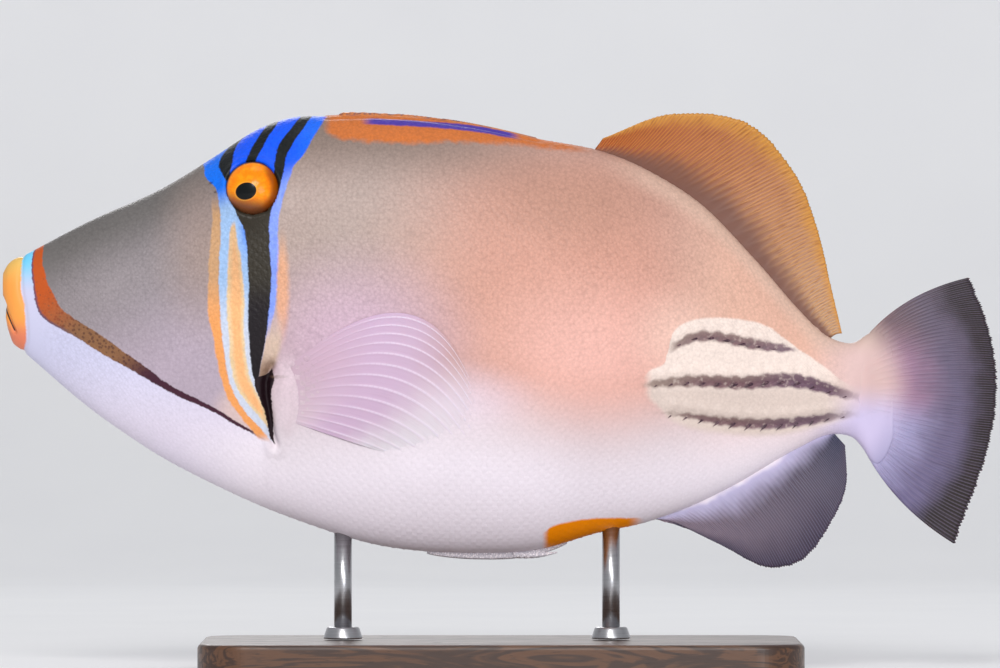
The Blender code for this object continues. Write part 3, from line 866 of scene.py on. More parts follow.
    def stripes(self) -> None:
        """Paints the blue and black stripes over the nape and the band below the eye."""
        g, c = self.graph, self.tones
        front_edge = (
            (56, 68.4), (58, 67.2), (61.8, 64), (63, 62.9), (65.5, 60.6), (68, 59), (73, 56.9), (78, 56),
            (83, 55.3), (88, 54.8), (103, 54.4), (108, 54.7), (113, 54.7), (118, 54.2), (120.3, 53.6),
            (122.7, 51.8), (124.3, 50.6), (126.2, 50.4), (128.6, 50), (132, 50),
        )
        black_front = (
            (72, 64.2), (73, 63.3), (78, 62.4), (83, 62), (88, 61.8), (98, 61.8), (103, 61.6), (108, 61.1),
            (110.7, 60.6), (113, 59.3), (115.5, 58.2), (118, 57), (120.3, 56.4), (122.7, 56.1),
            (124.3, 55.2), (126.2, 54.3), (128.6, 54.6), (131, 56.3), (134, 58.6),
        )
        black_rear = (
            (72, 63.6), (75, 64.7), (78, 65.2), (83, 66.1), (88, 66.7), (93, 67.2), (98, 67.5), (103, 67.2),
            (108, 67), (113, 67.1), (118, 68.4), (120.3, 69.3), (122.7, 70), (126.2, 70.6), (128.6, 71),
            (131, 72.2), (133.4, 73.5), (135.8, 75.3), (138.2, 76.8), (141, 79.4),
        )
        rear_edge = (
            (56, 68.4), (58.8, 67.2), (63.8, 66.1), (68.5, 64.8), (73, 63.8), (75, 64.6), (78, 65.2),
            (80.5, 66.2), (83, 66.8), (88, 67.8), (93, 68.7), (103, 69.2), (113, 69.3), (118, 70.3),
            (120.3, 71), (124, 72.2), (126.2, 72.9), (128.6, 75), (131, 76.4), (133.4, 77.7), (135.8, 79.1),
            (138.2, 80.6), (141, 83.4),
        )
        blue = self.within(self.behind(front_edge), self.behind(rear_edge, 0.3))
        lowered = g.scaled(self.back, -0.38, g.plus(self.up, 21.3))
        bright = g.both(g.step(lowered, 115.0, 122.0), self.past(46.0, 51.0))
        blues = g.mix(self.past(58.5, 62.0), c.pale_blue, c.sky_blue)
        blues = g.mix(g.both(self.above(112.0, 100.0), self.past(57.5, 59.5)), blues, c.pale_blue)
        blues = g.mix(self.above(100.0, 82.0), blues, c.pale_line)
        blues = g.mix(g.both(self.past(64.0, 66.5), self.above(70.0, 74.0)), blues, c.violet_blue)
        vivid = g.mix(self.past(56.0, 60.0), c.sky_blue, c.stripe_blue)
        vivid = g.mix(g.times(self.past(72.0, 78.0), 0.6), vivid, c.sky_blue)
        blues = g.mix(bright, blues, vivid)
        self.coat(g.both(blue, self.above(56.5, 58.5)), blues)
        dark = self.between(black_front, black_rear)
        inner = g.mix(self.above(100.0, 90.0), g.mix(self.above(119.0, 114.0), c.black, c.band_top), c.band)
        self.coat(dark, inner)
        middle_stripes = (
            (((120, 56.8), (124, 57), (126.2, 57.4), (128.6, 57.7), (131, 58.3), (133.4, 60), (137, 63)),
             ((120, 59), (126.2, 60.7), (128.6, 61.4), (131, 62.5), (133.4, 63.8), (135.8, 65.5), (140, 69))),
            (((120, 62), (126.2, 63), (128.6, 63.8), (131, 65.2), (133.4, 66.3), (135.8, 67.9), (138.2, 69.4),
              (141, 71.6)),
             ((120, 68), (126.2, 68.1), (128.6, 68.3), (131, 68.9), (133.4, 70.3), (135.8, 72.2), (138.2, 74),
              (141, 76.6))),
        )
        for front, rear in middle_stripes:
            stripe = g.both(self.between(front, rear), self.above(119.5, 121.0))
            self.coat(stripe, c.stripe_blue)
        self.bars(front_edge)

    def bars(self, front_edge: Points) -> None:
        """Paints the orange and yellow lines before the band below the eye, and the fringe behind it.

        Args:
            front_edge: The front edge of the blue stripe behind them.
        """
        g, c = self.graph, self.tones
        orange_front = (
            (56, 66.6), (58, 64.7), (63, 60.5), (68, 57), (73, 55), (78, 54), (83, 53.1), (88, 52),
            (103, 52), (108, 52.4), (113, 52.7), (118, 52.6), (123, 52.4),
        )
        yellow_front = (
            (56.7, 67.6), (61.7, 66.2), (64.3, 64.2), (65.5, 63), (68, 60.9), (73, 58.2), (78, 57.3),
            (83, 57), (88, 56.5), (98, 56.5), (103, 56.7), (108, 57), (110.5, 57.2), (113, 58.2),
        )
        yellow_rear = (
            (56.7, 67.7), (61.7, 66.7), (64.3, 66.2), (66, 65.8), (68, 64.9), (73, 62.3), (78, 61.3),
            (83, 60.8), (93, 60.8), (98, 60.5), (103, 60), (108, 58.9), (112.5, 58.3),
        )
        orange = self.between(orange_front, front_edge, 0.3)
        orange = g.both(orange, self.above(57.5, 60.0), self.above(120.0, 113.0))
        self.coat(orange, g.mix(self.above(84.0, 102.0), c.orange, c.orange_top))
        yellow = self.between(yellow_front, yellow_rear, 0.3)
        yellow = g.both(yellow, self.above(59.5, 62.0), self.above(113.0, 111.0))
        core = g.step(self.from_line(yellow_front), 0.3, 1.6)
        core = g.both(core, g.step(self.from_line(yellow_rear), -0.2, -1.2))
        warm = g.mix(core, c.yellow, c.yellow_core)
        warm = g.mix(g.times(self.above(88.0, 104.0), 0.6), warm, c.orange_top)
        self.coat(yellow, warm)
        fringe = g.both(self.spot((70.2, 96), (2.5, 16), 0.3), self.past(68.4, 69.2))
        self.coat(g.times(fringe, 0.75), c.fringe)

    def from_line(self, points: Points) -> Socket:
        """How far a place lies behind an upright line."""
        return self.graph.minus(self.back, self.upright_line(points))

    def gill(self) -> None:
        """Paints the tan flap before the gill slit, painted shade in the slit's opening and painted shade in
        the fold above it.
        """
        g, c = self.graph, self.tones
        slit_front = (
            (56.6, 68.4), (58.8, 67.1), (63.8, 66.1), (67.5, 65), (69.8, 64), (72, 63.3), (73.4, 63.4),
            (74.6, 66.4), (76, 67.6),
        )
        slit_rear = (
            (56.6, 68.5), (58.8, 68), (62.8, 67.9), (66.2, 67.6), (70.6, 67.5), (73, 68.2), (75, 68),
            (76, 67.7),
        )
        flap_front = ((72.2, 63.8), (75, 64.7), (78, 65.2), (83, 66.1), (88, 66.9))
        flap_rear = ((72.2, 65), (75, 67), (77, 68.4), (80, 69.4), (84, 70), (90, 70))
        flap = self.within(self.behind(flap_front), self.behind(flap_rear, 0.9))
        flap = g.both(flap, self.above(71.8, 73.0), self.above(91.0, 82.0))
        lower = g.both(self.above(81.0, 75.0), g.scaled(g.noise(1.2), 0.5, 0.5))
        self.coat(flap, g.mix(lower, c.flap, tone(116, 82, 58)))
        # Painted shade: the gill slit's opening is painted near black.
        slit_shade = self.between(slit_front, slit_rear, 0.15)
        slit_shade = g.both(slit_shade, self.above(56.8, 57.6), self.above(77.0, 76.0))
        self.coat(slit_shade, c.slit_shade)
        # Painted shade in the crease at the flap's lower edge.
        crease_shade = g.times(self.spot((69.4, 73.9), (3, 0.7), 0.3), 0.8)
        self.coat(crease_shade, tone(110, 84, 70))
        lobe = g.times(self.spot((71.5, 69), (5, 13), 0.4), 0.6)
        lobe = g.both(lobe, self.behind(slit_rear, 0.2))
        self.coat(lobe, tone(226, 206, 214))

    def back_marks(self) -> None:
        """Paints the orange along the first dorsal fin, its violet streak and the orange at the vent."""
        g, c = self.graph, self.tones
        low = (
            (79, 136.6), (83, 133.6), (90, 132.6), (100, 132.2), (112, 132.4), (124, 132), (136, 131),
            (148, 129.8),
        )
        rough = g.plus(self.level_line(low), g.times(g.noise(2.4), 2.0))
        orange = self.edge(self.up, g.minus(rough, 1.0), 0.9)
        orange = g.both(orange, self.past(79.5, 82.5), self.past(150.0, 140.0))
        self.coat(g.times(orange, 0.92), c.back_orange)
        streak = ((90, 137.6), (100, 137.2), (109, 136.6), (119, 135.6), (129.5, 133.6))
        away = g.math("ABSOLUTE", g.minus(self.up, self.level_line(streak)))
        violet = g.both(g.step(away, 1.0, 0.5), self.past(89.0, 93.0), self.past(130.0, 126.0))
        self.coat(violet, c.streak)
        top = (
            (130, 35), (135.5, 35.2), (137, 36.4), (141.7, 37.7), (146.7, 38.4), (154.2, 38.6), (160, 38.4),
        )
        vent = g.both(
            self.edge(self.level_line(top), self.up, 0.35),
            self.past(134.6, 136.6), self.past(161.0, 156.0),
        )
        self.coat(vent, c.vent)

    def tail_marks(self) -> None:
        """Paints the cream patch on the tail stalk and the dark rows along it."""
        g, c = self.graph, self.tones
        top = (
            (160, 73.6), (161.4, 75.4), (165, 77), (166.2, 81), (167.2, 84.8), (170.6, 87.4), (176, 88.4),
            (185, 88), (191, 86.4), (196, 82.8), (201, 79.2), (206, 75.8), (211, 72), (217, 69.6),
        )
        low = ((159, 70.6), (163, 67), (168, 62.6), (180, 59.8), (193, 59.4), (205, 61.8), (217, 65))
        patch = self.within(self.over(low, 1.2), self.over(top, 0.4))
        patch = g.both(patch, self.past(159.5, 162.5), self.past(216.0, 204.0))
        cream = g.mix(self.above(75.0, 70.0), c.cream, c.sand)
        self.coat(patch, cream)
        phase = g.times(self.back, math.tau / self.form.marks.spacing)
        beat = g.math("SINE", phase)
        halves = (
            ((165, 0.3), (169, 1.1), (175, 1.2), (180, 1.2), (186, 1.3), (191, 1.2), (196, 0.7), (199, 0.2)),
            ((158, 0.2), (163, 0.8), (170, 1.3), (184, 1.6), (198, 1.75), (206, 1.4), (217, 0.5)),
            ((161, 0.2), (172, 0.6), (180, 1.1), (190, 1.3), (202, 1.1), (216, 0.5)),
        )
        rough = g.minus(g.noise(1.5, 4), 0.5)
        strengths = (0.88, 0.92, 0.88)
        for row, half, strength in zip(self.form.marks.rows, halves, strengths):
            away = g.minus(self.up, self.level_line(row))
            away = g.plus(away, g.times(rough, 0.9))
            width = g.scaled(beat, 0.16, g.curve(self.back, half, 250, 10))
            band = self.edge(width, g.math("ABSOLUTE", away), 0.5)
            ends = g.both(self.past(half[0][0], half[1][0]), self.past(half[-1][0], half[-2][0]))
            shade = g.mix(self.past(161.0, 178.0), c.row_taupe, c.row_dark)
            shade = g.mix(g.times(g.step(away, -0.4, 1.4), 0.55), shade, c.row_taupe)
            slant = g.math("SINE", g.plus(phase, g.times(away, -1.7)))
            # Dark hook marks by each thorn: partly the thorns' dark bases, partly painted shadow of the
            # thorns.
            hook_bases_and_shadows = g.both(g.step(slant, 0.2, 0.95), g.step(away, 0.3, -0.5), self.past(166.0, 182.0))
            shade = g.mix(g.times(hook_bases_and_shadows, 0.6), shade, c.row_hook_base_and_shadow)
            shade = g.mix(g.times(self.past(182.0, 200.0), 0.7), shade, c.row_last)
            shade = g.mix(g.times(g.step(rough, 0.05, 0.2), 0.4), shade, c.sand)
            self.coat(g.both(band, ends, strength), shade)

    def grain(self) -> tuple[Socket, Socket]:
        """Adds the fine grain of the scales' surface.

        Returns:
            The grained colour, and the grain as a height.
        """
        g = self.graph
        cell = g.cells(0.85)
        cloud = g.noise(14.0, 2)
        fine = g.noise(0.45, 2)
        calm = g.both(g.step(self.true_back, 7.0, 16.0), g.step(self.true_back, 216.0, 206.0),
                      g.scaled(g.step(self.true_up, 48.0, 100.0), 0.75, 0.25))
        light = g.times(g.minus(0.42, cell), 0.24)
        light = g.plus(light, g.times(g.minus(cloud, 0.5), 0.16))
        light = g.plus(light, g.times(g.minus(fine, 0.5), 0.3))
        light = g.plus(g.times(light, calm), 1.0)
        bright = g.add("ShaderNodeHueSaturation")
        g.put(bright.inputs["Color"], self.colour)
        g.put(bright.inputs["Value"], light)
        height = g.times(g.plus(g.times(cell, -0.7), fine), calm)
        return bright.outputs[0], height

    def finish(self) -> Material:
        """The whole paint of the skin.

        Returns:
            The material.
        """
        g = self.graph
        self.colour = self.ground()
        for paint in (self.snout, self.stripes, self.back_marks, self.tail_marks, self.gill):
            paint()
        # Painted shade in the mouth's slit and the nostril pits.
        self.coat(self.mouth_and_nostril_shade(), tone(46, 22, 20))
        colour, height = self.grain()
        rough = g.scaled(g.noise(5.0), 0.18, 0.34)
        return g.dress(
            Base_Color=colour, Roughness=rough, Normal=g.bump(height, 0.13, 0.5), Coat_Weight=0.05,
            Coat_Roughness=0.25, Specular_IOR_Level=0.25,
        )

    def mouth_and_nostril_shade(self) -> Socket:
        """Where painted shade darkens the closed mouth's slit and the nostril pits.

        Returns:
            The mask.
        """
        g = self.graph
        line = tuple((up, back + 2.0) for back, up in self.form.marks.mouth)
        away = g.minus(g.plus(self.true_back, 2.0), g.curve(self.true_up, line, HEIGHT_SPAN, BACK_SPAN))
        slit_shade = g.both(g.step(g.math("ABSOLUTE", away), 0.3, 0.1), g.step(self.true_up, 85.0, 85.6),
                      g.step(self.true_up, 95.0, 94.0))
        holes = [g.times(self.spot(place, (0.5, 0.5), 0.3), 0.5) for place in self.form.marks.nostrils]
        return g.math("MAXIMUM", slit_shade, g.math("MAXIMUM", *holes))


@dataclass(frozen=True)
class FinColours:
    """A fin's colours from its root to its edge, those of its rays, and how strongly they show."""

    inner: Colour
    outer: Colour
    edge: Colour
    ray: Colour
    streak: Colour
    steps: tuple[float, float, float, float, float]
    ray_strength: float = 0.6
    streak_strength: float = 0.5
    skin_share: float = 0.0
    last: Colour | None = None
    edge_share: float = 0.0
    hub: tuple[float, float, float, float] | None = None


class FinPaint:
    """The paint of one fin: the body's colour at its root, then bands, streaks and rays."""

    streak_span = 0.19
    streak_reach = 0.004
    joint_beat = 230.0

    def __init__(self, form: BodyForm, skin: SkinColours, name: str, colours: FinColours) -> None:
        """Starts the paint.

        Args:
            form: The body that carries the fin.
            skin: The body's colours.
            name: The material's name.
            colours: The fin's colours.
        """
        self.under = SkinPaint(form, skin, name)
        self.tones = colours

    def rings(self, hub: tuple[float, float, float, float]) -> Socket:
        """How far out a place lies in rings about a point, from 0 to 1.

        Args:
            hub: The point's distance back and height, where the rings start and how far they run.

        Returns:
            The share of the way out.
        """
        g = self.under.graph
        back = g.minus(self.under.true_back, hub[0])
        up = g.minus(self.under.true_up, hub[1])
        return g.math("DIVIDE", g.minus(g.away(back, up), hub[2]), hub[3])

    def finish(self) -> Material:
        """The whole paint of the fin.

        Returns:
            The material.
        """
        g, c = self.under.graph, self.tones
        share, out, crest = g.attribute("marks")
        uneven = g.times(g.minus(g.noise(6.0), 0.5), 0.2)
        reach = g.plus(self.rings(c.hub) if c.hub else out, uneven)
        whole = self.under.ground()
        body = g.mix(c.skin_share, c.inner, whole)
        outer = g.mix(share, c.outer, c.last) if c.last else c.outer
        colour = g.mix(g.step(reach, c.steps[1], c.steps[2]), body, outer)
        edge = g.mix(c.edge_share, c.edge, whole)
        colour = g.mix(g.step(reach, c.steps[3], c.steps[4]), colour, edge)
        colour = g.mix(g.step(reach, 0.0, c.steps[0]), whole, colour)
        along = g.add("ShaderNodeCombineXYZ")
        g.put(along.inputs[0], g.times(share, self.streak_span))
        g.put(along.inputs[1], g.times(out, self.streak_reach))
        streaks = g.both(g.step(g.noise(0.8, 3, along.outputs[0]), 0.48, 0.66), g.step(reach, 0.1, 0.4))
        colour = g.mix(g.times(streaks, c.streak_strength), colour, c.streak)
        joints = g.step(g.math("SINE", g.times(out, self.joint_beat)), -1.0, -0.4)
        rays = g.both(g.step(crest, 0.5, 1.0), g.scaled(joints, 0.25, 0.75), g.step(reach, 0.1, 0.5))
        colour = g.mix(g.times(rays, c.ray_strength), colour, c.ray)
        height = g.plus(g.times(streaks, 0.5), g.times(rays, 0.4))
        return g.dress(
            Base_Color=colour, Roughness=g.scaled(crest, -0.1, 0.5), Normal=g.bump(height, 0.1, 0.4),
            Subsurface_Weight=0.2, Subsurface_Radius=(0.0014, 0.0009, 0.0009), Subsurface_Scale=1.0,
            Coat_Weight=0.04, Coat_Roughness=0.3, Specular_IOR_Level=0.25,
        )


class FinKind(Enum):
    """The fins that are painted alike, with their colours."""

    DORSAL = FinColours(
        tone(116, 76, 62), tone(158, 68, 0), tone(194, 136, 62), tone(212, 148, 38), tone(124, 58, 24),
        (0.05, 0.1, 0.45, 0.7, 1.0), 0.4, 0.4, 0.0, tone(182, 146, 116),
    )
    ANAL = FinColours(
        tone(168, 162, 202), tone(134, 116, 128), tone(64, 54, 72), tone(148, 146, 174), tone(80, 74, 96),
        (0.1, 0.05, 0.4, 0.55, 1.0), 0.25, 0.3, 0.2, tone(30, 34, 60),
    )
    CAUDAL = FinColours(
        tone(176, 138, 160), tone(92, 81, 92), tone(36, 28, 26), tone(128, 116, 140), tone(74, 62, 80),
        (0.1, 0.22, 0.6, 0.6, 0.88), 0.3, 0.3, 1.0, tone(108, 100, 136), 0.0, (202, 70, 18, 30),
    )
    PECTORAL = FinColours(
        tone(204, 172, 192), tone(204, 174, 200), tone(218, 192, 212), tone(236, 220, 236),
        tone(194, 160, 180), (0.1, 0.1, 0.4, 0.45, 0.85), 0.6, 0.15, 0.6, None, 1.0,
    )


def horn_finish(name: str, foot: Colour, tip: Colour) -> Material:
    """Rough horn for the spines and thorns, in two tones.

    Args:
        name: The material's name.
        foot: The main colour.
        tip: The colour of its worn flecks.

    Returns:
        The material.
    """
    g = Graph(name)
    flecks = g.step(g.noise(0.9, 4), 0.42, 0.62)
    grain = g.cells(0.35)
    return g.dress(
        Base_Color=g.mix(flecks, foot, tip), Roughness=g.scaled(flecks, 0.2, 0.32),
        Normal=g.bump(grain, 0.1, 0.5), Coat_Weight=0.15, Coat_Roughness=0.2,
    )


def folded_finish() -> Material:
    """The folded first dorsal fin: orange with dark pleats.

    Returns:
        The material.
    """
    g = Graph("folded_fin_paint")
    pleats_in_metre = 5200.0
    _, across, _ = g.apart(g.position)
    wander = g.times(g.minus(g.noise(3.0), 0.5), 3.2)
    phase = g.scaled(across, pleats_in_metre, wander)
    pleats = g.step(g.math("COSINE", phase), -0.7, 0.5)
    colour = g.mix(pleats, tone(150, 74, 34), tone(212, 122, 44))
    colour = g.mix(g.times(g.step(g.noise(1.1), 0.5, 0.66), 0.4), colour, tone(96, 66, 110))
    return g.dress(
        Base_Color=colour, Roughness=0.5, Normal=g.bump(g.noise(0.6), 0.1, 0.5), Subsurface_Weight=0.1,
        Subsurface_Radius=(0.001, 0.0006, 0.0004), Subsurface_Scale=1.0,
    )


def flap_finish() -> Material:
    """The pelvic flap and its spine: pale, rough.

    Returns:
        The material.
    """
    g = Graph("flap_paint")
    grains = g.cells(0.5)
    colour = g.mix(g.step(grains, 0.2, 0.55), tone(244, 234, 238), tone(200, 194, 202))
    return g.dress(
        Base_Color=colour, Roughness=0.5, Normal=g.bump(grains, 0.14, 0.6), Subsurface_Weight=0.15,
        Subsurface_Radius=(0.001, 0.001, 0.001), Subsurface_Scale=1.0,
    )


@dataclass(frozen=True)
class EyeColours:
    """The eye's colours and the place of its pupil, from the middle of the eye."""

    amber: Colour = tone(255, 134, 0)
    bright: Colour = tone(255, 156, 10)
    olive_shade: Colour = tone(112, 66, 44)
    rust: Colour = tone(140, 58, 4)
    pupil: Colour = tone(8, 12, 14)
    rim: Colour = tone(44, 26, 16)
    pupil_place: Spot = (-1.65, -0.6)
    pupil_reach: Spot = (2.6, 2.1)
    pupil_lean: float = math.radians(15)
    iris_rays: float = 34.0


def eye_finish(colours: EyeColours, marks: Marks) -> Material:
    """The painted glass eye: a leaning oval pupil in an amber iris with fine rays.

    Args:
        colours: The eye's colours.
        marks: Where the eye lies.

    Returns:
        The material.
    """
    g = Graph("glass_eye")
    rearward, _, upward = g.apart(g.position)
    back = g.scaled(rearward, 1 / MM, LENGTH / 2 - marks.eye[0])
    up = g.scaled(upward, 1 / MM, -marks.eye[1])
    run = g.minus(back, colours.pupil_place[0])
    lift = g.minus(up, colours.pupil_place[1])
    cos, sin = math.cos(colours.pupil_lean), math.sin(colours.pupil_lean)
    along = g.math("DIVIDE", g.plus(g.times(run, cos), g.times(lift, sin)),
                   colours.pupil_reach[0])
    across = g.math("DIVIDE", g.minus(g.times(lift, cos), g.times(run, sin)),
                    colours.pupil_reach[1])
    away = g.away(along, across)
    out = g.away(back, up)
    angle = g.math("ARCTAN2", lift, run)
    ray = g.math("SINE", g.scaled(angle, colours.iris_rays, g.times(g.noise(1.2), 9.0)))
    clouds = g.noise(1.6, 4)
    colour = g.mix(g.step(clouds, 0.35, 0.7), colours.amber, colours.bright)
    colour = g.mix(g.times(g.step(ray, -0.2, 1.0), 0.14), colour, tone(214, 96, 0))
    # Painted shade: the iris darkens to olive towards the bottom of the eye.
    low = g.step(g.scaled(run, 0.2, up), -0.6, -4.6)
    colour = g.mix(g.times(low, 0.95), colour, colours.olive_shade)
    rear = g.both(g.step(out, 3.6, 5.4), g.step(back, 1.5, 4.6))
    colour = g.mix(g.times(rear, 0.85), colour, colours.rust)
    glow = g.both(g.step(away, 1.2, 1.08), g.step(away, 0.95, 1.02))
    colour = g.mix(g.times(glow, 0.25), colour, tone(255, 196, 80))
    colour = g.mix(g.step(out, 6.2, 6.7), colour, colours.rim)
    colour = g.mix(g.step(away, 1.05, 0.97), colour, colours.pupil)
    return g.dress(
        Base_Color=colour, Roughness=0.35, Coat_Weight=0.35, Coat_Roughness=0.06, Coat_IOR=1.4,
        Specular_IOR_Level=0.1,
    )


def wood_finish() -> Material:
    """Dark oiled walnut, its grain along the base.

    Returns:
        The material.
    """
    g = Graph("walnut")
    along_grain = g.stretched((0.12, 1.0, 1.0))
    grain = g.add("ShaderNodeTexNoise")
    g.put(grain.inputs["Vector"], along_grain)
    grain.inputs["Scale"].default_value = 160
    grain.inputs["Detail"].default_value = 5
    grain.inputs["Distortion"].default_value = 1.4
    pores = g.noise(0.5, 2, along_grain)
    bands = g.step(g.math("SINE", g.times(grain.outputs["Fac"], 34.0)), -0.9, 0.9)
    colour = g.mix(bands, tone(58, 36, 24), tone(92, 60, 38))
    colour = g.mix(g.times(g.step(pores, 0.6, 0.72), 0.6), colour, tone(30, 18, 12))
    return g.dress(
        Base_Color=colour, Roughness=g.scaled(bands, -0.08, 0.42), Normal=g.bump(pores, 0.05, 0.4),
        Coat_Weight=0.2, Coat_Roughness=0.2,
    )


def steel_finish() -> Material:
    """Brushed steel, with fine rings round each rod.

    Returns:
        The material.
    """
    g = Graph("brushed_steel")
    rings = g.noise(0.12, 2, g.stretched((0.02, 0.02, 1.0)))
    return g.dress(
        Base_Color=g.mix(rings, tone(150, 150, 152), tone(200, 200, 204)), Metallic=1.0,
        Roughness=g.scaled(rings, 0.2, 0.22), Normal=g.bump(rings, 0.02, 0.4),
    )


def floor_finish() -> Material:
    """The pale matt paper of the floor and backdrop.

    Returns:
        The material.
    """
    g = Graph("pale_paper")
    return g.dress(
        Base_Color=g.mix(g.noise(60.0), tone(236, 236, 238), tone(242, 242, 243)), Roughness=0.9,
        Normal=g.bump(g.noise(1.5), 0.05, 0.15),
    )


class Side(Enum):
    """The two sides of the fish, as the sign of the distance across."""

    LEFT = -1
    RIGHT = 1


def placed(piece: Piece, finish: Material, slot: str, *nodes: str) -> Piece:
    """Dresses a piece, ties it to the model and reports it.

    Args:
        piece: The finished mesh.
        finish: Its material.
        slot: Not used.
        nodes: The solids that the piece stands for.

    Returns:
        The same piece.
    """
    piece.data.materials.clear()
    piece.data.materials.append(finish)
    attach(piece, "root")
    if nodes:
        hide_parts(*nodes)
    LOG.info("%s: %d faces", piece.name, len(piece.data.polygons))
    return piece


def spread_by(density: Callable[[Array], Array], low: float, high: float) -> Callable:
    """A function from shares to values whose steps are closer where a density is higher.

    Args:
        density: The density at each value.
        low: The value at a share of 0.
        high: The value at a share of 1.

    Returns:
        The function.
    """
    values = np.linspace(low, high, 3000)
    total = np.concatenate([[0], np.cumsum((density(values[1:]) + density(values[:-1])) / 2)])
    return lambda share: np.interp(share, total / total[-1], values)


def copies(shape: Shape, name: str, count: int) -> bpy.types.Mesh:
    """One small mesh many times over as a single mesh, made by doubling it.

    Args:
        shape: The small mesh, which is freed.
        name: The new mesh's name.
        count: How many copies it holds.

    Returns:
        The mesh, whose vertices follow copy by copy.
    """
    block = bpy.data.meshes.new(name)
    shape.to_mesh(block)
    shape.free()
    whole = bmesh.new()
    while count:
        if count % 2:
            whole.from_mesh(block)
        count //= 2
        if count:
            twice = bmesh.new()
            twice.from_mesh(block)
            twice.from_mesh(block)
            twice.to_mesh(block)
            twice.free()
    whole.to_mesh(block)
    whole.free()
    return block


class Girths:
    """The length round the body at many stations, for places given by their share of the girth."""

    count = 440
    turn_steps = 720

    def __init__(self, form: BodyForm, end: float) -> None:
        """Measures the body.

        Args:
            form: The body.
            end: How far back it is measured.
        """
        self.stations = np.linspace(0, end, self.count)
        turns = np.linspace(0, math.tau, self.turn_steps + 1)
        rings = form.plain(self.stations[:, None], turns[None, :])
        lengths = np.linalg.norm(np.diff(rings, axis=1), axis=-1)
        travelled = np.concatenate([np.zeros((self.count, 1)), np.cumsum(lengths, axis=1)], axis=1)
        self.girth = travelled[:, -1]
        shares = np.linspace(0, 1, self.turn_steps + 1)
        self.table = np.stack([np.interp(shares, line / line[-1], turns) for line in travelled])

    def at(self, back: Array) -> Array:
        """The girths at distances back from the nose."""
        return np.interp(back, self.stations, self.girth)

    def turns_at(self, backs: Array, shares: Array) -> Array:
        """The angles round the body at which given shares of its girth are reached.

        Args:
            backs: Distances back from the nose.
            shares: Shares of the girth, from the back down the left side.

        Returns:
            The angles, in the shape of backs.
        """
        row = np.clip(np.searchsorted(self.stations, backs), 0, self.count - 1)
        spot = shares * self.turn_steps
        low = np.clip(spot.astype(int), 0, self.turn_steps - 1)
        part = spot - low
        return self.table[row, low] * (1 - part) + self.table[row, low + 1] * part


